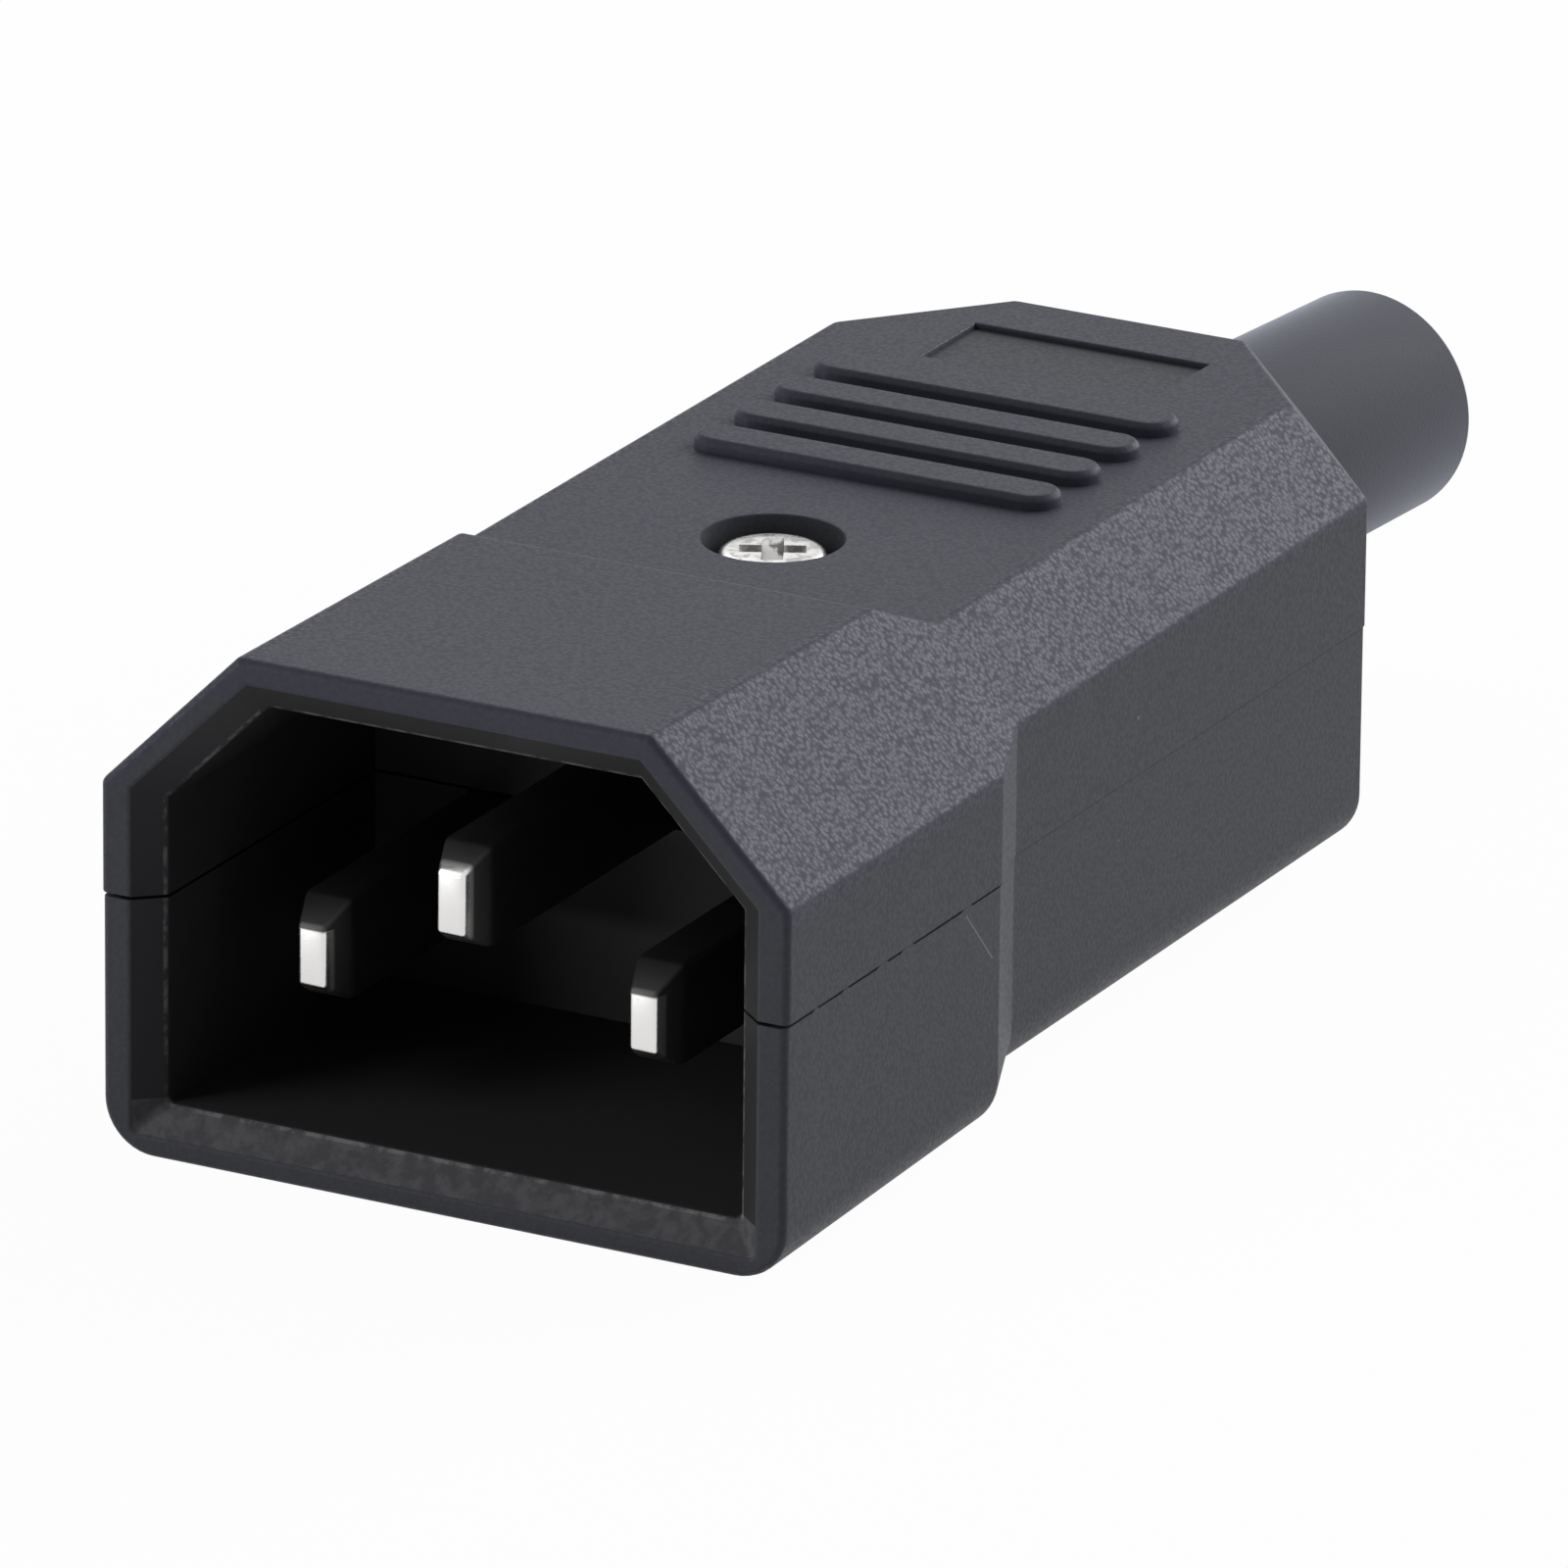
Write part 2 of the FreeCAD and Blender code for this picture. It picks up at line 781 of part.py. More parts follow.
def make_cover_screw():
    return screw(
        "cover_screw",
        (as_size(0.0), cover_screw_y, cover_seat),
        s.cover_screw_radius,
        s.cover_screw_length,
        s.cover_head_radius,
        s.cover_head_height,
    )


# Lower shell

def lower_terminal_seats():
    """Raised seats under the terminal pads, with a stop behind each outer pad."""
    seats = []
    for terminal in TERMINALS:
        x, underside, _, pad_length = TERMINALS[terminal]
        low_x = x - s.pad_width / 2
        high_x = x + s.pad_width / 2
        stop_start = pad_start + pad_length + s.slot_clearance
        stop_end = stop_start + s.seat_stop_thickness
        if terminal == "earth":
            seat_end = cover_screw_y
        else:
            seat_end = stop_end
            stop_top = underside + s.seat_stop_height
            seats.append(block(f"{terminal}_stop", (low_x, stop_start, floor), (high_x, stop_end, stop_top)))
        seats.append(block(f"{terminal}_seat", (low_x, bulkhead_end, floor), (high_x, seat_end, underside)))
    return seats


def lower_screw_holes():
    """Square pockets for the terminal screws' tips, pilot holes for the cover screw and clamp screws."""
    holes = []
    room = s.terminal_screw_radius + s.hole_clearance
    for terminal in TERMINALS:
        x, y = terminal_axis(terminal)
        seat = plate_underside(terminal) + s.plate_thickness
        tip = seat - s.terminal_screw_length - s.tip_clearance
        holes.append(block(f"{terminal}_tip_pocket", (x - room, y - room, tip), (x + room, y + room, seat)))
    cover_hole_end = cover_tip - s.tip_clearance
    holes.append(
        rod(
            "cover_pilot",
            (0.0, cover_screw_y, cover_hole_end),
            s.cover_screw_radius + s.thread_clearance,
            OVERCUT - cover_hole_end,
        )
    )
    clamp_hole_end = clamp_high - s.clamp_screw_length - s.tip_clearance
    for side, sign in CLAMP_SIDES.items():
        holes.append(
            rod(
                f"clamp_pilot_{side}",
                (clamp_screw_x * sign, clamp_y, clamp_hole_end),
                s.terminal_screw_radius + s.thread_clearance,
                clamp_high - clamp_hole_end,
            )
        )
    return holes


def lower_pin_slots():
    """Slots through the bulkhead for the two outer pins, open at the parting plane."""
    slots = []
    for terminal in ("live", "neutral"):
        x, underside, _, _ = TERMINALS[terminal]
        half = s.pin_thickness / 2 + s.slot_clearance
        slots.append(
            block(
                f"{terminal}_slot",
                (x - half, s.cavity_depth - OVERCUT, underside - s.slot_clearance),
                (x + half, bulkhead_end + s.slot_clearance, as_size(OVERCUT)),
            )
        )
    return slots


def make_lower_shell():
    setback = s.parting_setback
    sections = {
        "front": (shroud_half_width - setback, shroud_bottom, s.lower_corner),
        "shroud_end": (shroud_end_half_width - setback, shroud_end_bottom, s.lower_corner),
        "rear": (s.rear_half_width - setback, s.rear_bottom, s.lower_corner),
        "tail": (s.tail_half_width - setback, s.rear_bottom, s.lower_corner),
    }
    cavity = (s.cavity_half_width, s.cavity_half_height, s.cavity_corner)
    bevel = s.mouth_bevel_width
    mouth = (s.cavity_half_width + bevel, s.cavity_half_height + bevel, s.cavity_corner)
    outer = outer_half("lower_outer", lower_outline, lower_outline, sections, cavity, mouth)
    chamber = chamber_half("lower_chamber", lower_outline, s.rear_bottom - s.wall, s.chamber_corner)
    shell = cut("lower_walls", outer, chamber)

    boss = rod("cover_boss", (0.0, cover_screw_y, floor), s.tower_radius, -half_gap - floor)
    clamp_bosses = [
        rod(
            f"clamp_boss_{side}",
            (clamp_screw_x * sign, clamp_y, floor),
            s.clamp_boss_radius,
            clamp_low - floor,
        )
        for side, sign in CLAMP_SIDES.items()
    ]
    saddle = block(
        "cord_saddle",
        (-clamp_screw_x, clamp_y - s.saddle_thickness / 2, floor),
        (clamp_screw_x, clamp_y + s.saddle_thickness / 2, clamp_low - s.boot_clearance),
    )
    stop = boot_stop("lower_boot_stop", outer, floor, -half_gap)
    inside = fused("lower_inside", lower_terminal_seats() + [boss, saddle, stop] + clamp_bosses)

    tongue_outside = chamber_prism(
        "tongue_outside",
        s.wall - s.tongue_thickness,
        tongue_start,
        -s.tongue_root,
        s.tongue_height,
    )
    tongue_inside = chamber_prism(
        "tongue_inside",
        s.wall,
        tongue_start - OVERCUT,
        -s.tongue_root - OVERCUT,
        s.tongue_height + OVERCUT,
    )
    tongue = cut("tongue", tongue_outside, tongue_inside)

    solid = fused("lower_solid", [shell, inside, tongue])
    cord_room = rod(
        "saddle_cord_room",
        (0.0, clamp_start, 0.0),
        s.clamp_cord_radius,
        s.clamp_width,
        ALONG_Y,
    )
    openings = lower_pin_slots() + lower_screw_holes() + boot_seat("lower_boot_seat") + [cord_room]
    return cut("lower_shell", solid, fused("lower_openings", openings))


# Upper shell

panel_start = s.body_length - s.panel_rear_margin - s.panel_length


def grip_ribs():
    """Round-ended grip ribs across the top, one behind the other."""
    radius = s.rib_thickness / 2
    straight = s.rib_half_length - radius
    middle = panel_start - s.rib_panel_gap - s.rib_pitch * (s.rib_count - 1)
    body = doc.addObject("PartDesign::Body", "grip_ribs")
    sketch = sketch_on(body, "rib_outline", "XY_Plane", s.rear_top - s.panel_depth)
    draw_slot(sketch, straight, middle, radius)
    rib = extrude(body, "rib", sketch, s.panel_depth + s.rib_height)
    doc.recompute()
    top = s.rear_top.number + s.rib_height.number
    edges = [
        f"Edge{index}"
        for index, edge in enumerate(rib.Shape.Edges, start=1)
        if edge.BoundBox.ZMin > top - s.rib_height.number / 2
    ]
    chamfer = body.newObject("PartDesign::Chamfer", "rib_edges")
    chamfer.Base = (rib, edges)
    bind(chamfer, "Size", s.rib_chamfer)
    doc.recompute()
    pattern = body.newObject("PartDesign::LinearPattern", "rib_row")
    pattern.TransformMode = "Whole shape"
    pattern.Direction = (sketch, ["V_Axis"])
    bind(pattern, "Length", s.rib_pitch * (s.rib_count - 1))
    bind(pattern, "Occurrences", s.rib_count)
    body.Tip = pattern
    return body


def cover_tower():
    """Tube around the cover screw, widened around the counterbore."""
    sleeve = rod("tower_sleeve", (0.0, cover_screw_y, half_gap), s.tower_radius, ceiling - half_gap)
    head_low = cover_seat - s.counterbore_floor
    head = rod(
        "tower_head",
        (0.0, cover_screw_y, head_low),
        s.counterbore_radius + s.counterbore_wall,
        ceiling - head_low,
    )
    return [sleeve, head]


def make_upper_shell():
    sections = {
        "front": (shroud_half_width, shroud_top, s.shroud_chamfer),
        "shroud_end": (shroud_end_half_width, shroud_end_top, s.shroud_end_chamfer),
        "rear": (s.rear_half_width, s.rear_top, s.rear_chamfer),
        "tail": (s.tail_half_width, s.rear_top, s.rear_chamfer),
    }
    cavity = (s.cavity_half_width, s.cavity_half_height, s.cavity_chamfer)
    bevel = s.mouth_bevel_width
    mouth = (s.cavity_half_width + bevel, s.cavity_half_height + bevel, s.cavity_chamfer + bevel * LEG_SHARE)
    outer = outer_half("upper_outer", rounded_upper_outline, upper_outline, sections, cavity, mouth)
    inner_chamfer = s.rear_chamfer - s.wall * LEG_SHARE
    chamber = chamber_half("upper_chamber", upper_outline, s.rear_top - s.wall, inner_chamfer)
    shell = cut("upper_walls", outer, chamber)
    stop = boot_stop("upper_boot_stop", outer, half_gap, ceiling)
    solid = fused("upper_solid", [shell, grip_ribs(), stop] + cover_tower())

    clearance = s.tongue_clearance
    rebate_inset = s.wall - s.tongue_thickness - clearance
    rebate_outside = chamber_prism(
        "rebate_outside",
        rebate_inset,
        tongue_start - clearance,
        as_size(-OVERCUT),
        s.tongue_height + clearance,
    )
    rebate_inside = chamber_prism(
        "rebate_inside",
        s.wall + clearance,
        tongue_start - OVERCUT,
        as_size(-OVERCUT * 2),
        s.tongue_height + OVERCUT,
    )
    rebate = cut("tongue_rebate", rebate_outside, rebate_inside)
    x, underside, _, _ = TERMINALS["earth"]
    half = s.pin_thickness / 2 + s.slot_clearance
    earth_slot = block(
        "earth_slot",
        (x - half, s.cavity_depth - OVERCUT, underside - OVERCUT),
        (x + half, bulkhead_end + s.slot_clearance, underside + s.pin_height + s.slot_clearance),
    )
    counterbore = rod(
        "counterbore",
        (0.0, cover_screw_y, cover_seat),
        s.counterbore_radius,
        s.rear_top + OVERCUT - cover_seat,
    )
    screw_hole = rod(
        "cover_hole",
        (0.0, cover_screw_y, -OVERCUT),
        s.cover_screw_radius + s.hole_clearance,
        s.rear_top + OVERCUT,
    )
    panel = block(
        "marking_panel",
        (-s.panel_half_width, panel_start, s.rear_top - s.panel_depth),
        (s.panel_half_width, panel_start + s.panel_length, s.rear_top + OVERCUT),
    )
    openings = [rebate, earth_slot, counterbore, screw_hole, panel]
    return cut("upper_shell", solid, fused("upper_openings", openings + boot_seat("upper_boot_seat")))


# The pieces, each written to its own file

def check(piece):
    shape = piece.Shape
    if shape.isNull() or not shape.isValid() or not shape.Solids:
        raise RuntimeError(f"{piece.Label} has no valid solid")


pieces = [make_upper_shell(), make_lower_shell(), make_cord_boot(), make_cover_screw()]
pieces += [make_contact(terminal) for terminal in TERMINALS]
pieces += [make_clamp_plate(terminal) for terminal in TERMINALS]
pieces += [make_terminal_screws(), make_cord_clamp(), make_cord_clamp_screws()]
doc.recompute()

for thing in doc.Objects:
    if "Invalid" in thing.State or "Error" in thing.State:
        raise RuntimeError(f"{thing.Label} did not build: {thing.State}")
for piece in pieces:
    check(piece)

os.makedirs("parts", exist_ok=True)
for piece in pieces:
    piece.Shape.exportStep(f"parts/{piece.Label}.step")
    print(piece.Label, len(piece.Shape.Solids), round(piece.Shape.Volume, 3))
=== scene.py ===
import json
import math
from collections import namedtuple

import bmesh
import bpy
from bpy.props import FloatProperty, FloatVectorProperty, IntProperty, PointerProperty
from mathutils import Matrix, Vector


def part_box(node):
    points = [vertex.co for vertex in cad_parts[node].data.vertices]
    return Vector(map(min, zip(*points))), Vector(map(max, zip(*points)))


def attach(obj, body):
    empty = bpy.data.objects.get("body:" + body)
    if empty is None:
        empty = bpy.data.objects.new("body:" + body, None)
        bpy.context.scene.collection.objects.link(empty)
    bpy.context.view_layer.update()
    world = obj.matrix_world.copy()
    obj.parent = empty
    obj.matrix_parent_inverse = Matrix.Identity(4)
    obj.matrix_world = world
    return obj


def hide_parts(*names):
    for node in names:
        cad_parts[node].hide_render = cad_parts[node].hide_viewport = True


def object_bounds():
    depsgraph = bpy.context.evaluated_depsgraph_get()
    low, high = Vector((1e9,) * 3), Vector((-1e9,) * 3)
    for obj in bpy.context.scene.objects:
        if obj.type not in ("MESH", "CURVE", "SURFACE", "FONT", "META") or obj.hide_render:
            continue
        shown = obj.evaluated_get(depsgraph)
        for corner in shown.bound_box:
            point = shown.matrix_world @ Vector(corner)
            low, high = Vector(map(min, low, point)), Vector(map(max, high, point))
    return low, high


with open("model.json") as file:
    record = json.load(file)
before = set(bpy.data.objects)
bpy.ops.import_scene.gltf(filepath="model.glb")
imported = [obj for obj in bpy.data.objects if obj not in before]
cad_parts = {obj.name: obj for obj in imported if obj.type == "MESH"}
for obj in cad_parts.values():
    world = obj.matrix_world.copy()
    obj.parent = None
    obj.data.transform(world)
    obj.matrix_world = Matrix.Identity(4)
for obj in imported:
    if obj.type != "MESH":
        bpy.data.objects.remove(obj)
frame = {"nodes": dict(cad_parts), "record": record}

bl_info = {
    "name": "Rewireable appliance plug",
    "version": (1, 0, 0),
    "blender": (4, 5, 0),
    "location": "3D View > Sidebar > Plug",
    "description": "Models and finishes a rewireable plug around its fixed frame of solids",
    "category": "Object",
}

CAD_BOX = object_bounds()
BODY = "root"
TERMINALS = ("live", "neutral", "earth")
MM = 0.001

# Points closer than this are one point, faces flatter than this are one face, and faces that turn by
# less than the last angle are shaded as one curve
MERGE_DISTANCE = 0.001 * MM
FLAT_ANGLE = math.radians(0.5)
SMOOTH_ANGLE = math.radians(35.0)

BOOT_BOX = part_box("cord_boot")
HOUSING_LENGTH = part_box("upper_shell")[1].y
CORD_ENTRY = next(mount for mount in frame["record"]["mounts"] if mount["name"] == "cord_entry")
CORD_AXIS = Vector(CORD_ENTRY["axis"])
CORD_BORE = CORD_ENTRY["dims"]["r_mm"] * MM


# Settings that a user may change

def length_setting(name, description, default):
    return FloatProperty(name=name, description=description, default=default, unit="LENGTH")


def angle_setting(name, description, default):
    return FloatProperty(name=name, description=description, default=default, subtype="ANGLE")


def colour_setting(name, description, default):
    return FloatVectorProperty(name=name, description=description, default=default, subtype="COLOR")


class HousingSettings(bpy.types.PropertyGroup):
    """Colour, grain and edges of the moulded housing."""

    colour: colour_setting("Plastic", "Colour of the moulded plastic", (0.0545, 0.056, 0.064))
    socket_colour: colour_setting(
        "Inside of the shroud", "Colour of the smooth plastic around the pins", (0.05, 0.05, 0.051)
    )
    grain: length_setting("Grain", "Distance between the bumps of the mould's grain", 0.2 * MM)
    grain_depth: length_setting("Grain depth", "Height of the bumps of the mould's grain", 0.009 * MM)
    rim_radius: length_setting("Rim rounding", "Rounding of the outer edges at both ends", 0.3 * MM)
    edge_radius: length_setting("Edge rounding", "Rounding of all other outer edges", 0.1 * MM)


class BootSettings(bpy.types.PropertyGroup):
    """Colour and shape of the soft cord boot."""

    colour: colour_setting("Rubber", "Colour of the boot", (0.029, 0.0297, 0.035))
    radius: length_setting("Outer radius", "Radius of the sleeve where it leaves the housing", 4.78 * MM)
    end_radius: length_setting("End radius", "Radius of the sleeve at its open end", 4.62 * MM)
    bend_radius: length_setting("Bend radius", "Radius of the bend, on its middle line", 50.0 * MM)
    tail_length: length_setting("Tail", "Straight length behind the bend", 14.3 * MM)
    flange_thickness: length_setting("Flange", "Thickness of the flange inside the housing", 1.8 * MM)
    lip_radius: length_setting("Lip rounding", "Rounding of the sleeve's open end", 0.3 * MM)


class MetalSettings(bpy.types.PropertyGroup):
    """Plating of the pins and screws, and the screws' heads and threads."""

    nickel: colour_setting("Nickel", "Colour of the nickel plating", (0.8, 0.79, 0.78))
    zinc: colour_setting("Zinc", "Colour of the zinc plating", (0.62, 0.63, 0.64))
    head_height: length_setting("Head height", "Height of each screw's head", 1.6 * MM)
    head_radius: length_setting("Head radius", "Radius of each screw's head", 2.1 * MM)
    shank_radius: length_setting("Thread radius", "Radius over the crests of the thread", 1.25 * MM)
    thread_depth: length_setting("Thread depth", "Height of the thread above the core", 0.25 * MM)
    fine_pitch: length_setting("Fine pitch", "Pitch of the thread in the terminals", 0.45 * MM)
    coarse_pitch: length_setting("Coarse pitch", "Pitch of the threads in plastic", 0.95 * MM)
    edge_radius: length_setting("Edges", "Rounding of the edges of pins, plates and clamp", 0.16 * MM)
    facets: IntProperty(name="Facets", description="Sides of a round head", default=64, min=16)


class StageSettings(bpy.types.PropertyGroup):
    """Camera, light and floor."""

    azimuth: angle_setting("Azimuth", "Turn of the camera about the upright axis", math.radians(27.85))
    elevation: angle_setting("Elevation", "Height of the camera above the horizon", math.radians(20.026))
    roll: angle_setting("Roll", "Turn of the camera about its own axis", math.radians(0.562))
    target: FloatVectorProperty(
        name="Target",
        description="Point that the camera is turned about",
        subtype="TRANSLATION",
        default=(0.0, 20.0 * MM, 0.0),
    )
    distance: length_setting("Distance", "Distance from the target to the camera", 679.844 * MM)
    slide: FloatVectorProperty(
        name="Slide",
        description="Camera moved across and up, in its own plane",
        size=2,
        subtype="TRANSLATION",
        default=(3.231 * MM, 0.533 * MM),
    )
    lens: FloatProperty(
        name="Lens",
        description="Focal length in millimetres for a 36 mm frame",
        default=413.913,
    )
    floor_colour: colour_setting("Floor", "Colour of the floor", (0.9, 0.9, 0.9))
    floor_white: FloatProperty(
        name="Floor whiteness",
        description="Share of plain white that the camera sees in the floor",
        subtype="FACTOR",
        default=0.97,
        min=0.0,
        max=1.0,
    )
    sky_strength: FloatProperty(
        name="Sky",
        description="Strength of the even light from all around",
        default=0.01,
    )


# Modelling by hand: selection and small steps

def start_clean():
    """Leaves edit mode, with nothing selected."""
    if bpy.context.mode != "OBJECT":
        bpy.ops.object.mode_set(mode="OBJECT")
    bpy.ops.object.select_all(action="DESELECT")


def make_active(piece):
    start_clean()
    piece.select_set(True)
    bpy.context.view_layer.objects.active = piece


def edit(piece, mode):
    """Opens a piece in edit mode with nothing selected."""
    make_active(piece)
    bpy.ops.object.mode_set(mode="EDIT")
    bpy.ops.mesh.select_mode(type=mode)
    bpy.ops.mesh.select_all(action="DESELECT")


def pick(piece, kind, wanted):
    """Selects the verts, edges or faces that the test wants, and counts them."""
    mesh = bmesh.from_edit_mesh(piece.data)
    count = 0
    for item in getattr(mesh, kind):
        item.select = bool(wanted(item))
        count += item.select
    mesh.select_flush_mode()
    bmesh.update_edit_mesh(piece.data)
    return count


def apply_modifier(piece, kind, **settings):
    make_active(piece)
    modifier = piece.modifiers.new(kind.lower(), kind)
    for setting, value in settings.items():
        setattr(modifier, setting, value)
    bpy.ops.object.modifier_apply(modifier=modifier.name)


def settle(piece):
    """Puts a piece's place into its mesh, so that its object sits at the origin."""
    make_active(piece)
    bpy.ops.object.transform_apply(location=True, rotation=True, scale=True)


def smooth(piece, angle=SMOOTH_ANGLE):
    make_active(piece)
    bpy.ops.object.shade_smooth_by_angle(angle=angle)


def new_piece(name):
    """Names the object that an operator has just added."""
    piece = bpy.context.active_object
    piece.name = name
    piece.data.name = name
    return piece


def join(pieces, name):
    """Joins pieces into the first one."""
    start_clean()
    for piece in pieces:
        piece.select_set(True)
    bpy.context.view_layer.objects.active = pieces[0]
    bpy.ops.object.join()
    return new_piece(name)


def copy_of(piece, name, shift):
    """A copy with a mesh of its own, moved by a shift."""
    make_active(piece)
    bpy.ops.object.duplicate(linked=False)
    copy = new_piece(name)
    bpy.ops.transform.translate(value=shift)
    settle(copy)
    return copy


def recalculate(piece):
    edit(piece, "FACE")
    bpy.ops.mesh.select_all(action="SELECT")
    bpy.ops.mesh.normals_make_consistent(inside=False)
    start_clean()


def finish_piece(piece, material, slot, *nodes):
    """Gives a piece its material, and puts it in the place of its solids."""
    piece.data.materials.clear()
    piece.data.materials.append(material)
    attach(piece, BODY)
    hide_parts(*nodes)


def turn_of(edge):
    """Angle between an edge's two faces, or none at an open edge."""
    if len(edge.link_faces) != 2:
        return 0.0
    return edge.calc_face_angle(0.0)


def merged_copy(node, name):
    """A copy of a solid's mesh, with its loose triangles joined into flat faces."""
    piece = bpy.data.objects.new(name, frame["nodes"][node].data.copy())
    bpy.context.scene.collection.objects.link(piece)
    piece.data.name = name
    edit(piece, "VERT")
    bpy.ops.mesh.select_all(action="SELECT")
    bpy.ops.mesh.customdata_custom_splitnormals_clear()
    bpy.ops.mesh.remove_doubles(threshold=MERGE_DISTANCE)
    bpy.ops.mesh.dissolve_limited(angle_limit=FLAT_ANGLE)
    start_clean()
    return piece


def round_edges(piece, radius, segments, wanted):
    """Rounds the edges that the test wants."""
    edit(piece, "EDGE")
    if not pick(piece, "edges", wanted):
        raise RuntimeError(f"{piece.name} has no edge to round")
    bpy.ops.mesh.bevel(offset=radius, segments=segments, affect="EDGES", clamp_overlap=False)
    start_clean()


# Materials

class Value:
    """A shader socket that takes part in arithmetic. Each step adds a Math node."""

    def __init__(self, nodes, socket):
        self.nodes = nodes
        self.socket = socket

    def math(self, operation, *values):
        return self.nodes.node("ShaderNodeMath", {"operation": operation}, dict(enumerate(values)))

    def __add__(self, other):
        return self.math("ADD", self, other)

    def __radd__(self, other):
        return self.math("ADD", other, self)

    def __sub__(self, other):
        return self.math("SUBTRACT", self, other)

    def __rsub__(self, other):
        return self.math("SUBTRACT", other, self)

    def __mul__(self, other):
        return self.math("MULTIPLY", self, other)

    def __rmul__(self, other):
        return self.math("MULTIPLY", other, self)

    def __lt__(self, other):
        return self.math("LESS_THAN", self, other)

    def __gt__(self, other):
        return self.math("GREATER_THAN", self, other)

    def __abs__(self):
        return self.math("ABSOLUTE", self)

    def larger(self, other):
        return self.math("MAXIMUM", self, other)


class Nodes:
    """A node tree in the making."""

    def __init__(self, owner):
        owner.use_nodes = True
        self.tree = owner.node_tree

    def connect(self, socket, value):
        if isinstance(value, Value):
            self.tree.links.new(value.socket, socket)
        else:
            socket.default_value = value

    def node(self, kind, settings, sockets, output=0):
        """Adds a node, sets it up, feeds its sockets, and gives one of its outputs."""
        added = self.tree.nodes.new(kind)
        for setting, value in settings.items():
            if setting == "stops":
                self.set_stops(added.color_ramp.elements, value)
            else:
                setattr(added, setting, value)
        for socket, value in sockets.items():
            self.connect(added.inputs[socket], value)
        return Value(self, added.outputs[output])

    @staticmethod
    def set_stops(elements, stops):
        while len(elements) < len(stops):
            elements.new(1.0)
        for element, (position, level) in zip(elements, stops):
            element.position = position
            element.color = (level, level, level, 1.0)

    def seen_directly(self):
        """1 for rays that show the background itself, and 0 for its light on the object."""
        rays = ("Is Camera Ray", "Is Glossy Ray", "Is Transmission Ray")
        camera, glossy, through = (self.node("ShaderNodeLightPath", {}, {}, ray) for ray in rays)
        return camera.larger(glossy).larger(through)

    def end(self, output, shader):
        """Ends the tree in a shader."""
        self.connect(self.tree.nodes[output].inputs["Surface"], shader)


class Finish(Nodes):
    """A material in the making: one Principled shader and the nodes that feed it."""

    # Places of a Mix node's sockets for colours
    MIX_FIRST = 6
    MIX_SECOND = 7
    MIX_RESULT = 2

    def __init__(self, name, **constants):
        self.material = bpy.data.materials.new(name)
        super().__init__(self.material)
        self.shader = self.tree.nodes["Principled BSDF"]
        for socket, value in constants.items():
            self.shader.inputs[socket.replace("_", " ")].default_value = value
        self.spot = self.node("ShaderNodeTexCoord", {}, {}, "Object")

    def feed(self, socket, value):
        self.connect(self.shader.inputs[socket], value)

    def noise(self, spacing, detail=2.0, roughness=0.5, vector=None):
        """Soft noise whose blobs are about this far apart."""
        return self.node(
            "ShaderNodeTexNoise",
            {"noise_dimensions": "3D"},
            {
                "Vector": vector or self.spot,
                "Scale": 1.0 / spacing,
                "Detail": detail,
                "Roughness": roughness,
            },
            "Fac",
        )

    def dots(self, spacing):
        """Distance from the nearest of many scattered points, which are about this far apart."""
        return self.node(
            "ShaderNodeTexVoronoi",
            {"feature": "F1"},
            {"Vector": self.spot, "Scale": 1.0 / spacing},
            "Distance",
        )

    def rise(self, value, start=0.0, end=1.0):
        """0 up to a start, 1 from an end on, and rising between them."""
        return self.node("ShaderNodeValToRGB", {"stops": ((start, 0.0), (end, 1.0))}, {"Fac": value})

    def mix(self, share, first, second):
        """Mixes two colours, given as links or as plain colours."""
        colours = [c if isinstance(c, Value) else (*c, 1.0) for c in (first, second)]
        return self.node(
            "ShaderNodeMix",
            {"data_type": "RGBA"},
            {"Factor": share, self.MIX_FIRST: colours[0], self.MIX_SECOND: colours[1]},
            self.MIX_RESULT,
        )

    def axes(self):
        """The three coordinates of a point on the piece."""
        return [self.node("ShaderNodeSeparateXYZ", {}, {"Vector": self.spot}, axis) for axis in "XYZ"]

    def vector(self, operation, first, second, output="Vector"):
        sockets = {0: first, 1: second}
        return self.node("ShaderNodeVectorMath", {"operation": operation}, sockets, output)

    def bump(self, height, depth):
        """Raises the surface by a height from 0 to 1 times a depth."""
        return self.node("ShaderNodeBump", {}, {"Height": height, "Distance": depth, "Strength": 1.0})


def tone(colour, share):
    """A colour made darker or lighter."""
    return [channel * share for channel in colour]


# Marks on the right side of the housing, at their places along and up that side
SCRATCH_START = Vector((0.0, 14.4, -0.3)) * MM
SCRATCH_END = Vector((0.0, 16.6, -2.7)) * MM
SCRATCH_WIDTH = 0.035 * MM
SPECK = Vector((0.0, 30.23, 2.39)) * MM
SPECK_RADIUS = 0.08 * MM
MARKED_SIDE = 13.0 * MM

# Grains of dust all over the housing
DUST_SPACING = 2.6 * MM
DUST_RADIUS = 0.05 * MM
DUST_COLOUR = (0.15, 0.15, 0.15)

# Tints of the light that the housing and the boot throw back
COOL_GLOSS = (0.79, 0.8, 1.0, 1.0)
COOL_SHEEN = (0.83, 0.86, 1.0, 1.0)

# Grain of the housing, which glints more on the sloped faces and whose glinting dots are painted lighter
# as painted glints, and slow drift of its tone
GLINT_SHARE = 0.5
DARK_TONE = 0.9
LIGHT_TONE = 1.12
DRIFT_SPACING = 9.0 * MM
DRIFT_ROUGHNESS = 0.06
PLASTIC_ROUGHNESS = 0.48
GLINT_STRENGTH = 0.14
SLOPE_GLINT_STRENGTH = 0.16
MEAN_GLINT = 0.34

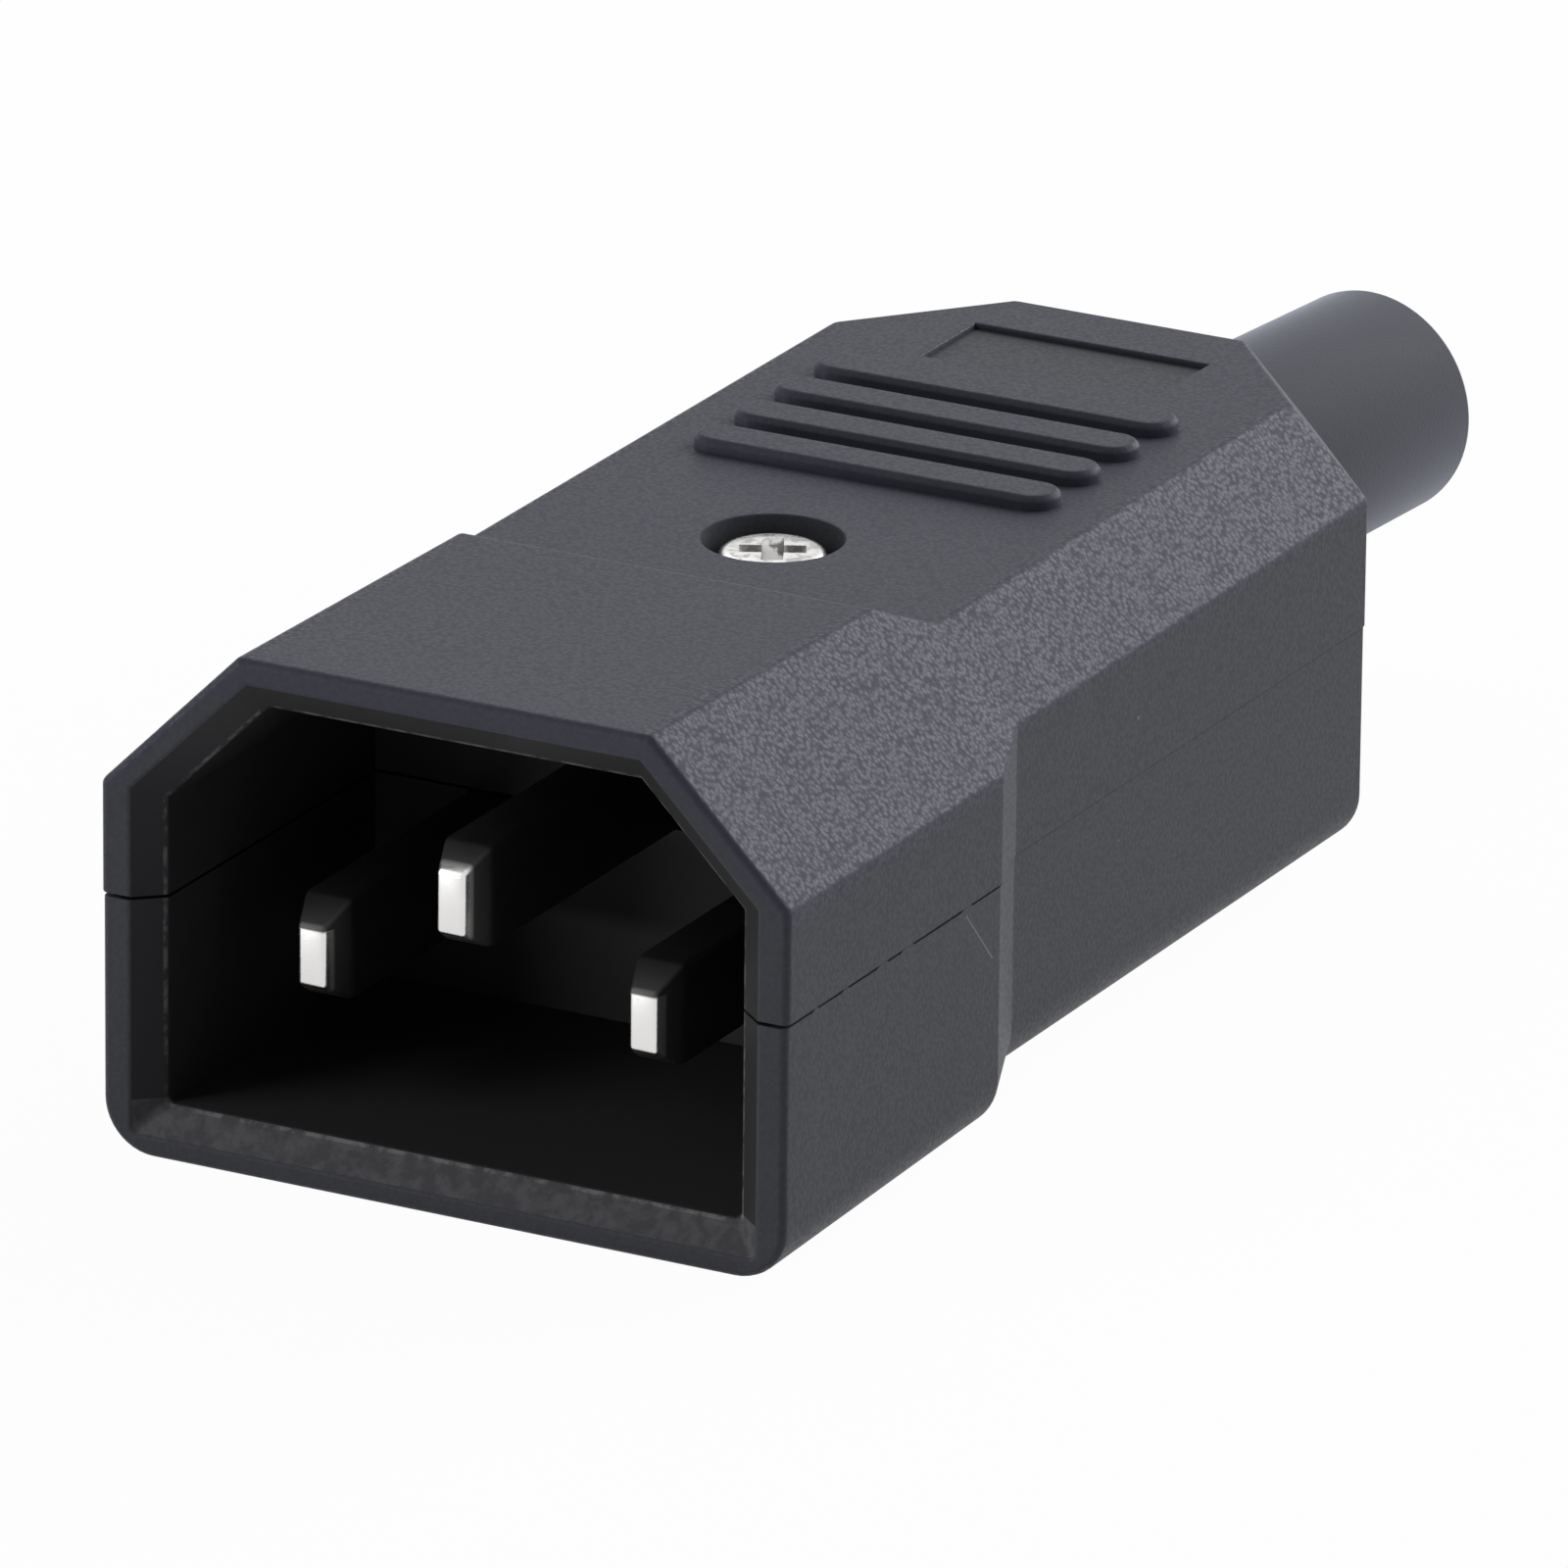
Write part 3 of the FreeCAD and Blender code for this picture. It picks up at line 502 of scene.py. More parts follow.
# Limits of the smooth space around the pins and of its bevelled mouth, inside the shroud's walls
SOCKET_START = 0.06 * MM
SOCKET_END = 17.0 * MM
SOCKET_SIDE = 13.7 * MM
SOCKET_TOP = 9.7 * MM
SOCKET_CORNER = 18.1 * MM
SOCKET_ROUGHNESS = 0.42
BEVEL_END = 0.98 * MM
# Painted shade: the mouth's bevel is the inside's colour made darker
BEVEL_SHADE_TONE = 0.55

# Wear and painted light on that bevel: pale spots along its inner edge that paint highlights there, and
# pale scuffs all over its bottom that paint the light falling on it
EDGE_SPOTS_START = 0.86 * MM
MOUTH_SPOT_SPACING = 0.6 * MM
EDGE_WEAR_AND_HIGHLIGHT = 0.6
LIT_SCUFFS_TOP = -8.0 * MM
SCUFF_AND_LIGHT = 0.25
WORN_AND_LIT_COLOUR = (0.19, 0.19, 0.2)

# Upper faces of the housing, which get a painted bluish tint of light from above: the least height of
# its top, and the least sum of a point's distances across and up on the sloped faces
TOP_START = 8.5 * MM
SLOPE_START = 18.3 * MM
PAINTED_SKY_TINT = (0.0545, 0.056, 0.14)
PAINTED_SKY_SHARE = 0.1


def socket_mask(finish):
    """1 on the faces inside the shroud, 0 elsewhere."""
    x, y, z = finish.axes()
    across = abs(x)
    depth = (y > SOCKET_START) * (y < SOCKET_END)
    width = (across < SOCKET_SIDE) * (abs(z) < SOCKET_TOP)
    return depth * width * (across + z < SOCKET_CORNER)


def mouth_wear_and_light(finish):
    """How pale the mouth's bevel is made by wear and painted light, from 0 to 1."""
    _, y, z = finish.axes()
    spots = finish.rise(finish.noise(MOUTH_SPOT_SPACING, detail=4.0, roughness=0.6), start=0.42, end=0.62)
    return (y > EDGE_SPOTS_START) * spots * EDGE_WEAR_AND_HIGHLIGHT + (z < LIT_SCUFFS_TOP) * (SCUFF_AND_LIGHT + spots * SCUFF_AND_LIGHT)


def side_marks(finish):
    """1 along one thin scratch and on one speck of the right side."""
    x, _, _ = finish.axes()
    on_side = finish.vector("MULTIPLY", finish.spot, (0.0, 1.0, 1.0))
    middle = (SCRATCH_START + SCRATCH_END) / 2
    along = (SCRATCH_END - SCRATCH_START).normalized()
    reach = (SCRATCH_END - SCRATCH_START).length / 2
    offset = finish.vector("SUBTRACT", on_side, middle)
    travel = finish.vector("DOT_PRODUCT", offset, along, "Value")
    square = finish.vector("DOT_PRODUCT", offset, offset, "Value")
    scratch = (square - travel * travel < SCRATCH_WIDTH ** 2) * (abs(travel) < reach)
    speck = finish.vector("DISTANCE", on_side, SPECK, "Value") < SPECK_RADIUS
    return (scratch + speck) * (x > MARKED_SIDE)


def dust_mask(finish):
    """1 on a few grains of dust."""
    return finish.dots(DUST_SPACING) < DUST_RADIUS / DUST_SPACING


def grained_plastic(settings):
    """Black plastic from a spark-eroded mould: fine grain that glints, smooth around the pins."""
    finish = Finish("grained_plastic", Specular_IOR_Level=0.12, Specular_Tint=COOL_GLOSS)
    x, y, z = finish.axes()
    inside = socket_mask(finish)
    outside = 1.0 - inside
    grain = 1.0 - finish.dots(settings.grain)
    glint = finish.rise(grain, start=0.25, end=0.85)
    drift = finish.noise(DRIFT_SPACING, detail=4.0, roughness=0.65)
    # Painted glints: the glinting dots of the grain are painted lighter, mixed with the drift of the
    # tone
    share = glint * GLINT_SHARE + drift * (1.0 - GLINT_SHARE)
    plastic = finish.mix(share, tone(settings.colour, DARK_TONE), tone(settings.colour, LIGHT_TONE))
    sloped = abs(x) + z > SLOPE_START
    upper = sloped.larger(z > TOP_START)
    # Painted light: the upper faces are tinted bluish, as if lit from above
    sky_painted = finish.mix(upper * PAINTED_SKY_SHARE, plastic, PAINTED_SKY_TINT)
    marked = finish.mix(side_marks(finish) + dust_mask(finish), sky_painted, DUST_COLOUR)
    # The mouth's bevel: darkened by painted shade, then paled by wear and painted light
    bevel = finish.mix(mouth_wear_and_light(finish), tone(settings.socket_colour, BEVEL_SHADE_TONE), WORN_AND_LIT_COLOUR)
    inner = finish.mix(y < BEVEL_END, settings.socket_colour, bevel)
    strength = GLINT_STRENGTH + sloped * SLOPE_GLINT_STRENGTH
    rough = PLASTIC_ROUGHNESS + strength * (MEAN_GLINT - glint) + drift * DRIFT_ROUGHNESS
    finish.feed("Base Color", finish.mix(inside, marked, inner))
    finish.feed("Roughness", rough * outside + inside * SOCKET_ROUGHNESS)
    finish.feed("Normal", finish.bump(grain * outside, settings.grain_depth))
    return finish.material


# How much rougher the palest clouds of the boot and of the clamp are
CLOUD_ROUGHNESS = 0.1


def clouded(finish, colour, cloud, tones, roughness, spacing, depth):
    """Feeds a finish with faint clouds of two tones, and with fine bumps of a spacing and depth."""
    dark, light = (tone(colour, share) for share in tones)
    finish.feed("Base Color", finish.mix(cloud, dark, light))
    finish.feed("Roughness", roughness + cloud * CLOUD_ROUGHNESS)
    finish.feed("Normal", finish.bump(finish.noise(spacing), depth))
    return finish.material


def satin_rubber(settings):
    """Smooth dark rubber of the boot, with a soft sheen."""
    finish = Finish(
        "satin_rubber",
        Specular_IOR_Level=0.08,
        Specular_Tint=COOL_GLOSS,
        Sheen_Weight=0.42,
        Sheen_Tint=COOL_SHEEN,
    )
    return clouded(
        finish,
        settings.colour,
        cloud=finish.noise(5.0 * MM, detail=4.0, roughness=0.55),
        tones=(0.85, 1.15),
        roughness=0.58,
        spacing=0.12 * MM,
        depth=0.012 * MM,
    )


def clamp_plastic(settings):
    """Satin black plastic of the cord clamp."""
    finish = Finish("clamp_plastic")
    return clouded(
        finish,
        settings.colour,
        cloud=finish.noise(2.0 * MM, detail=3.0),
        tones=(1.0, 1.3),
        roughness=0.48,
        spacing=0.2 * MM,
        depth=0.02 * MM,
    )


# Plating: brushed marks along the pieces, and patches of another tone
NICKEL_ROUGHNESS = 0.16
ZINC_ROUGHNESS = 0.3
BRUSH_STRETCH = (6.0, 1.0, 6.0)
BRUSH_SPACING = 0.5 * MM
BRUSH_DEPTH = 0.004 * MM
BRUSH_ROUGHNESS = 0.1
PATCH_SPACING = 1.6 * MM
PATCH_TONE = 0.86
PATCH_ROUGHNESS = 0.08

# Where the plating is dull and darkened by painted shade: behind the tips of the pins, and above those
# of the outer ones
DULL_ROUGHNESS = 0.25
BLADE_SHADE_TONE = 0.08
OUTER_PIN_SIDE = 3.0 * MM
OUTER_PIN_SETBACK = 2.0 * MM
OUTER_TIP_TOP = -1.05 * MM
TOP_FADE = 0.1 * MM
BRIGHT_TIP_END = 0.95 * MM
TIP_FADE = 0.3 * MM

# Painted shade darkens the plating down the cover screw's cross recess too, with spots of tarnish there
# and around it
SHADE_AND_TARNISH_TONE = 0.25
RECESS_CENTRE = Vector((0.0, 25.8, 0.0)) * MM
RECESS_RADIUS = 1.75 * MM
RECESS_TOP = 8.14 * MM
RECESS_FADE = 0.45 * MM
UNTARNISHED_RECESS_SHADE = 0.35
TARNISH_SPACING = 0.55 * MM
TARNISH = 0.7


def blade_shade_mask(finish):
    """0 at the tips of the pins, growing to 1 along their blades, where painted shade darkens them."""
    x, y, z = finish.axes()
    outer = abs(x) > OUTER_PIN_SIDE
    behind_tip = (y - outer * OUTER_PIN_SETBACK - BRIGHT_TIP_END) * (1.0 / TIP_FADE)
    above_tip = outer * (z - OUTER_TIP_TOP) * (1.0 / TOP_FADE)
    return finish.rise(behind_tip.larger(above_tip))


def recess_shade_and_tarnish(finish):
    """0 on the cover screw's rim, growing down its cross recess as painted shade, and more than 0 in
    spots of tarnish around it.
    """
    _, _, z = finish.axes()
    level = finish.vector("MULTIPLY", finish.spot, (1.0, 1.0, 0.0))
    away = finish.vector("DISTANCE", level, RECESS_CENTRE, "Value")
    depth = finish.rise((RECESS_TOP - z) * (1.0 / RECESS_FADE))
    spots = finish.rise(finish.noise(TARNISH_SPACING, detail=3.0), start=0.46, end=0.58)
    recess = depth * (UNTARNISHED_RECESS_SHADE + spots * (1.0 - UNTARNISHED_RECESS_SHADE))
    return (away < RECESS_RADIUS) * (recess + spots * TARNISH)


def plated_metal(name, colour, roughness, dull_shade_mask=None, dull_shade_tone=1.0):
    """Plated metal with faint brushed marks and patches, and with dull places darkened by painted shade,
    and by tarnish on the cover screw, where a mask says so.
    """
    finish = Finish(name, Metallic=1.0)
    stretched = finish.node("ShaderNodeMapping", {}, {"Vector": finish.spot, "Scale": BRUSH_STRETCH})
    brushed = finish.noise(BRUSH_SPACING, detail=3.0, vector=stretched)
    patch = finish.noise(PATCH_SPACING)
    bright = finish.mix(patch, colour, tone(colour, PATCH_TONE))
    rough = roughness + brushed * BRUSH_ROUGHNESS + patch * PATCH_ROUGHNESS
    if dull_shade_mask is not None:
        dull_shade = dull_shade_mask(finish)
        bright = finish.mix(dull_shade, bright, tone(colour, dull_shade_tone))
        rough = rough + dull_shade * DULL_ROUGHNESS
    finish.feed("Base Color", bright)
    finish.feed("Roughness", rough)
    finish.feed("Normal", finish.bump(brushed, BRUSH_DEPTH))
    return finish.material


def material(name, maker, *arguments):
    """A material, made once and shared by the pieces that have that finish."""
    return bpy.data.materials.get(name) or maker(*arguments)


def nickel_plate(name="nickel_plate", *dull_shade):
    colour = bpy.context.scene.plug_metal.nickel
    return material(name, plated_metal, name, colour, NICKEL_ROUGHNESS, *dull_shade)


def zinc_plate():
    colour = bpy.context.scene.plug_metal.zinc
    return material("zinc_plate", plated_metal, "zinc_plate", colour, ZINC_ROUGHNESS)


# Housing

# Edges that turn by more than this are moulded edges, and not facets of a curve
MOULDED_EDGE = math.radians(26.0)
# The least turn of an edge between two flat faces, as at the ramps behind the shroud
SLIGHT_EDGE = math.radians(3.0)
# How close a point lies to a face of the housing to be on it
ON_FACE = 0.02 * MM
# Shares of a face's normal along an axis: more than this on an end face, more on a land, less on a wall
END_FACE = 0.9
LAND_FACE = 0.97
WALL_FACE = 0.1
# Steps in each rounding, and how large some roundings are against that of the other edges
RIM_STEPS = 3
EDGE_STEPS = 2
PARTING_ROUNDING = 0.5
RIB_ROUNDING = 0.7

# Places of the moulded edges
MOUTH_DEPTH = 1.0 * MM
RAMP_LINES = (17.2 * MM, 20.15 * MM)
TAIL_LINE = HOUSING_LENGTH - 6.0 * MM
REAR_TOP = 8.65 * MM
RIB_SHOULDER = REAR_TOP + 0.1 * MM
SOCKET_HALF = Vector((13.5, 0.0, 9.6)) * MM

# The seam between the shells: half of its gap, how far from it other edges lie, where it starts beside
# the boot, and the heights of the lower shell's edge along it
HALF_GAP = 0.06 * MM
OFF_SEAM = 1.5 * HALF_GAP
GAP_START = 4.9 * MM
LIP_BOTTOM = -2.0 * HALF_GAP
LIP_FACE_TOP = -1.05 * HALF_GAP
# Where that edge is raised along the shroud, first and last place of each touch, and by how much
TOUCH_PLACES = ((2.3, 2.5), (4.6, 4.9), (7.4, 8.0), (9.3, 10.1), (14.2, 14.8))
SEAM_TOUCHES = [Vector(places) * MM for places in TOUCH_PLACES]
TOUCH_RAMP = 0.15 * MM
SEAM_LIFT = 0.09 * MM


def lies_at(edge, axis, *levels):
    """True if both ends of an edge lie at one of these levels on an axis."""
    index = "xyz".index(axis)
    return any(all(abs(vert.co[index] - level) < ON_FACE for vert in edge.verts) for level in levels)


def middle_of(edge):
    return (edge.verts[0].co + edge.verts[1].co) / 2


def faces_out(face, spot):
    """True for a face that looks away from the plug's middle line."""
    return face.normal.x * spot.x + face.normal.z * spot.z > 0.0


def sides_of(edge):
    """The faces at an edge that aren't the mating face or the rear face."""
    return [face for face in edge.link_faces if abs(face.normal.y) < END_FACE]


def is_rim(edge):
    """Outline of the mating face or of the rear face."""
    if turn_of(edge) < MOULDED_EDGE or not lies_at(edge, "y", 0.0, HOUSING_LENGTH):
        return False
    middle = middle_of(edge)
    sides = sides_of(edge)
    outward = bool(sides) and all(faces_out(face, middle) for face in sides)
    return outward and abs(middle.z) > OFF_SEAM


def is_mouth(edge):
    """Both edges of the bevel that leads into the shroud."""
    if turn_of(edge) < MOULDED_EDGE or not lies_at(edge, "y", 0.0, MOUTH_DEPTH):
        return False
    middle = middle_of(edge)
    within = abs(middle.x) < SOCKET_HALF.x and abs(middle.z) < SOCKET_HALF.z
    inward = not any(faces_out(face, middle) for face in sides_of(edge))
    return within and inward and abs(middle.z) > OFF_SEAM


def is_parting(edge):
    """Outer edge of the land where the shells meet."""
    if turn_of(edge) < MOULDED_EDGE or not lies_at(edge, "z", HALF_GAP, -HALF_GAP):
        return False
    middle = middle_of(edge)
    if abs(middle.x) < GAP_START:
        return False
    side = min(edge.link_faces, key=lambda face: abs(face.normal.z))
    return side.normal.x * middle.x > 0.0 or lies_at(edge, "y", 0.0, HOUSING_LENGTH)


def is_ramp(edge):
    """Lines where the ramps behind the shroud start and end, and where the tail starts."""
    if turn_of(edge) < SLIGHT_EDGE or not lies_at(edge, "y", *RAMP_LINES, TAIL_LINE):
        return False
    middle = middle_of(edge)
    return all(faces_out(face, middle) for face in edge.link_faces)


def is_rib(edge):
    """Upper edges of the grip ribs."""
    on_rib = all(RIB_SHOULDER < vert.co.z and vert.co.y > RAMP_LINES[1] for vert in edge.verts)
    return on_rib and turn_of(edge) > MOULDED_EDGE


def is_recess(edge):
    """Upper edges of the marking panel and of the screw's counterbore."""
    if turn_of(edge) < MOULDED_EDGE or not lies_at(edge, "z", REAR_TOP):
        return False
    walls = [face for face in edge.link_faces if abs(face.normal.z) < WALL_FACE]
    centres = [face.calc_center_median().z for face in walls]
    return bool(centres) and all(centre < REAR_TOP for centre in centres)


def is_lip(vert, start, end):
    """A point of the lower shell's outer edge along the seam, between two places."""
    along = start - ON_FACE < vert.co.y < end + ON_FACE
    if not along or not LIP_BOTTOM < vert.co.z < 0.0:
        return False
    walls = [face for face in vert.link_faces if face.normal.x * vert.co.x > 0.0]
    return any(face.calc_center_median().z < LIP_FACE_TOP for face in walls)


def is_below_seam(face):
    """Faces of the lower shell's outer edge along the shroud, without the land on top."""
    if abs(face.normal.z) >= LAND_FACE:
        return False
    return any(is_lip(vert, 0.0, RAMP_LINES[0]) for vert in face.verts)


class PLUG_OT_housing(bpy.types.Operator):
    """Makes both half shells with softened edges and a moulded grain"""

    bl_idname = "plug.housing"
    bl_label = "Housing shells"

    def execute(self, context):
        settings = context.scene.plug_housing
        radius = settings.edge_radius
        plastic = material("grained_plastic", grained_plastic, settings)
        for node in ("upper_shell", "lower_shell"):
            shell = merged_copy(node, f"{node}_moulded")
            round_edges(shell, settings.rim_radius, RIM_STEPS, is_rim)
            round_edges(shell, radius, EDGE_STEPS, is_mouth)
            round_edges(shell, radius * PARTING_ROUNDING, EDGE_STEPS, is_parting)
            round_edges(shell, radius, EDGE_STEPS, is_ramp)
            if node == "upper_shell":
                round_edges(shell, radius * RIB_ROUNDING, EDGE_STEPS, is_rib)
                round_edges(shell, radius, EDGE_STEPS, is_recess)
            else:
                self.close_seam(shell)
            smooth(shell)
            apply_modifier(shell, "WEIGHTED_NORMAL", keep_sharp=True)
            finish_piece(shell, plastic, "housing", node)
        return {"FINISHED"}

    def close_seam(self, shell):
        """Raises the lower shell's edge along the seam, at the touches and behind the shroud."""
        edit(shell, "FACE")
        for start, end in SEAM_TOUCHES:
            for line in (start - TOUCH_RAMP, start, end, end + TOUCH_RAMP):
                pick(shell, "faces", is_below_seam)
                bpy.ops.mesh.bisect(plane_co=(0.0, line, 0.0), plane_no=(0.0, 1.0, 0.0))
        edit(shell, "VERT")
        for start, end in (*SEAM_TOUCHES, (RAMP_LINES[1], HOUSING_LENGTH)):
            if not pick(shell, "verts", lambda vert: is_lip(vert, start, end)):
                raise RuntimeError("the lower shell has no edge along the seam")
            bpy.ops.transform.translate(value=(0.0, 0.0, SEAM_LIFT))
        start_clean()


# Cord boot

NECK_START = BOOT_BOX[0].y
REAR_MIDDLE = Vector((0.0, HOUSING_LENGTH, 0.0))
# Edges of the open end: the least turn, and the least distance behind the housing
LIP_EDGE = math.radians(60.0)
LIP_START = 12.0 * MM
LIP_STEPS = 4


class PLUG_OT_cord_boot(bpy.types.Operator):
    """Models the soft sleeve around the cord, bent to one side"""

    bl_idname = "plug.cord_boot"
    bl_label = "Cord boot"

    SIDES = 96
    BEND_STEPS = 16

    def execute(self, context):
        settings = context.scene.plug_boot
        boot = self.sleeve(settings)
        self.raise_flange(boot, settings)
        self.round_lip(boot, settings)
        smooth(boot)
        rubber = material("satin_rubber", satin_rubber, settings)
        finish_piece(boot, rubber, "boot", "cord_boot")
        return {"FINISHED"}

    def sleeve(self, settings):
        """A tube through the housing's rear, bent behind it, with a straight tail that tapers."""
        turn = math.atan2(CORD_AXIS.x, CORD_AXIS.y)
        start_clean()
        bpy.ops.mesh.primitive_circle_add(
            vertices=self.SIDES,
            radius=settings.radius,
            location=(0.0, NECK_START, 0.0),
            rotation=(math.pi / 2, 0.0, 0.0),
        )
        boot = new_piece("cord_boot_sleeve")
        settle(boot)
        edit(boot, "EDGE")
        bpy.ops.mesh.select_all(action="SELECT")
        neck_length = HOUSING_LENGTH - NECK_START - settings.flange_thickness
        for length in (settings.flange_thickness, neck_length):
            bpy.ops.mesh.extrude_region_move(TRANSFORM_OT_translate={"value": (0.0, length, 0.0)})
        bpy.ops.mesh.spin(
            steps=self.BEND_STEPS,
            angle=turn,
            center=(settings.bend_radius, HOUSING_LENGTH, 0.0),
            axis=(0.0, 0.0, 1.0),
        )
        tail = CORD_AXIS * settings.tail_length
        bpy.ops.mesh.extrude_region_move(TRANSFORM_OT_translate={"value": tail})
        bend_end = Vector((1.0 - math.cos(turn), math.sin(turn), 0.0)) * settings.bend_radius
        tail_end = REAR_MIDDLE + bend_end + tail
        taper = settings.end_radius / settings.radius
        bpy.ops.transform.resize(value=(taper, taper, taper), center_override=tail_end)
        recalculate(boot)
        apply_modifier(boot, "SOLIDIFY", thickness=settings.end_radius - CORD_BORE, offset=-1.0)
        return boot

    def raise_flange(self, boot, settings):
        flange_end = NECK_START + settings.flange_thickness
        middle = (CORD_BORE + settings.radius) / 2

        def on_flange(face):
            centre = face.calc_center_median()
            outward = math.hypot(centre.x, centre.z) > middle
            return outward and NECK_START < centre.y < flange_end and abs(face.normal.y) < END_FACE

        edit(boot, "FACE")
        if not pick(boot, "faces", on_flange):
            raise RuntimeError("the boot has no faces for its flange")
        rise = BOOT_BOX[1].z - settings.radius
        bpy.ops.mesh.extrude_region_shrink_fatten(TRANSFORM_OT_shrink_fatten={"value": rise})
        start_clean()

    def round_lip(self, boot, settings):
        def at_open_end(edge):
            reach = min((vert.co - REAR_MIDDLE).dot(CORD_AXIS) for vert in edge.verts)
            return turn_of(edge) > LIP_EDGE and reach > LIP_START

        round_edges(boot, settings.lip_radius, LIP_STEPS, at_open_end)


# Screws

# The drive, in shares of the head's radius and height: rounding of the rim, reach and half width of an
# arm, depth, length of the bottom against the top, and number of arms
Drive = namedtuple("Drive", "rim reach half_width depth taper arms")
CROSS = Drive(rim=0.24, reach=0.9, half_width=0.2, depth=0.75, taper=0.35, arms=2)
SLOT = Drive(rim=0.4, reach=1.2, half_width=0.14, depth=0.5, taper=1.0, arms=1)
DRIVE_TURN = math.radians(27.0)
HEAD_STEPS = 6

# The shank's end, in shares of the core's radius: length and radius of the tip, length without thread
ShankEnd = namedtuple("ShankEnd", "tip radius runout")
POINTED = ShankEnd(tip=1.6, radius=0.15, runout=1.6)
BLUNT = ShankEnd(tip=0.4, radius=0.75, runout=0.6)

# The thread: its foot in shares of the core's radius, half its base and its start in shares of the pitch
THREAD_FOOT = 0.98
THREAD_HALF_BASE = 0.36
THREAD_START = 0.6
THREAD_STEPS = 24
SCREW_SMOOTH_ANGLE = math.radians(32.0)


def top_of(node):
    """The middle of the upper side of a solid's box."""
    low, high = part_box(node)
    return Vector(((low.x + high.x) / 2, (low.y + high.y) / 2, high.z))


class ScrewMaker:
    """Models one screw with its seat at the origin, head up."""

    def __init__(self, settings, name, length, pitch, drive, end):
        self.settings = settings
        self.name = name
        self.length = length
        self.pitch = pitch
        self.drive = drive
        self.end = end
        self.core_radius = settings.shank_radius - settings.thread_depth

    def make(self):
        head = self.head()
        self.cut_drive(head)
        screw = join([head, self.core(), self.thread()], self.name)
        smooth(screw, SCREW_SMOOTH_ANGLE)
        return screw

    def head(self):
        """A pan head: a cylinder with its upper rim well rounded."""
        height = self.settings.head_height
        start_clean()
        bpy.ops.mesh.primitive_cylinder_add(
            vertices=self.settings.facets,
            radius=self.settings.head_radius,
            depth=height,
            location=(0.0, 0.0, height / 2),
        )
        head = new_piece(f"{self.name}_head")
        settle(head)
        rounding = height * self.drive.rim
        round_edges(head, rounding, HEAD_STEPS, lambda edge: lies_at(edge, "z", height))
        return head

    def cut_drive(self, head):
        """Cuts a tapered cross recess, or a straight slot."""
        height = self.settings.head_height
        reach = self.settings.head_radius * self.drive.reach
        half_width = self.settings.head_radius * self.drive.half_width
        cutters = []
        for arm in range(self.drive.arms):
            start_clean()
            bpy.ops.mesh.primitive_cube_add(
                size=2.0,
                location=(0.0, 0.0, height),
                rotation=(0.0, 0.0, DRIVE_TURN + arm * math.pi / 2),
                scale=(reach, half_width, height * self.drive.depth),
            )
            cutter = new_piece("recess_cutter")
            edit(cutter, "VERT")
            pick(cutter, "verts", lambda vert: vert.co.z < 0.0)
            bpy.ops.transform.resize(value=(self.drive.taper, 1.0, 1.0), orient_type="LOCAL")
            settle(cutter)
            cutters.append(cutter)
        for cutter in cutters:
            apply_modifier(head, "BOOLEAN", operation="DIFFERENCE", object=cutter, solver="EXACT")
            bpy.data.objects.remove(cutter)

    def core(self):
        """The shank under the thread, with a blunt or pointed tip."""
        tip = self.core_radius * self.end.tip
        start_clean()
        bpy.ops.mesh.primitive_cylinder_add(
            vertices=self.settings.facets // 2,
            radius=self.core_radius,
            depth=self.length - tip,
            location=(0.0, 0.0, -(self.length - tip) / 2),
        )
        core = new_piece(f"{self.name}_core")
        settle(core)
        edit(core, "FACE")
        pick(core, "faces", lambda face: face.normal.z < -END_FACE)
        bpy.ops.mesh.extrude_region_move(TRANSFORM_OT_translate={"value": (0.0, 0.0, -tip)})
        bpy.ops.transform.resize(value=(self.end.radius, self.end.radius, 1.0))
        start_clean()
        return core

    def thread(self):
        """A ridge that winds down the core."""
        turns = int((self.length - self.core_radius * self.end.runout - self.pitch) / self.pitch)
        foot = self.core_radius * THREAD_FOOT
        half_base = self.pitch * THREAD_HALF_BASE
        corners = (
            Vector((foot, 0.0, -half_base)),
            Vector((self.settings.shank_radius, 0.0, 0.0)),
            Vector((foot, 0.0, half_base)),
        )
        lowest = Vector((0.0, 0.0, -self.pitch * (turns + THREAD_START)))
        start_clean()
        bpy.ops.mesh.primitive_circle_add(vertices=len(corners), radius=1.0, fill_type="NOTHING")
        thread = new_piece(f"{self.name}_thread")
        edit(thread, "VERT")
        mesh = bmesh.from_edit_mesh(thread.data)
        for vert, corner in zip(mesh.verts, corners):
            vert.co = corner + lowest
        bmesh.update_edit_mesh(thread.data)
        apply_modifier(
            thread,
            "SCREW",
            axis="Z",
            angle=2.0 * math.pi,
            screw_offset=self.pitch,
            iterations=turns,
            steps=THREAD_STEPS,
            render_steps=THREAD_STEPS,
            use_merge_vertices=False,
        )
        edit(thread, "EDGE")
        pick(thread, "edges", lambda edge: len(edge.link_faces) == 1)
        bpy.ops.mesh.fill_holes(sides=len(corners))
        recalculate(thread)
        return thread


class PLUG_OT_cover_screw(bpy.types.Operator):
    """Models the cross-head screw that closes the housing"""

    bl_idname = "plug.cover_screw"
    bl_label = "Cover screw"

    def execute(self, context):
        settings = context.scene.plug_metal
        seat = top_of("cover_screw")
        seat.z -= settings.head_height
        length = seat.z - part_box("cover_screw")[0].z
        name = "cover_screw_cross_head"
        screw = ScrewMaker(settings, name, length, settings.coarse_pitch, CROSS, POINTED).make()
        screw.location = seat
        settle(screw)
        # Painted shade darkens the cross recess, with spots of tarnish there and around it
        plating = nickel_plate("recessed_nickel", recess_shade_and_tarnish, SHADE_AND_TARNISH_TONE)
        finish_piece(screw, plating, "screw", "cover_screw")
        return {"FINISHED"}


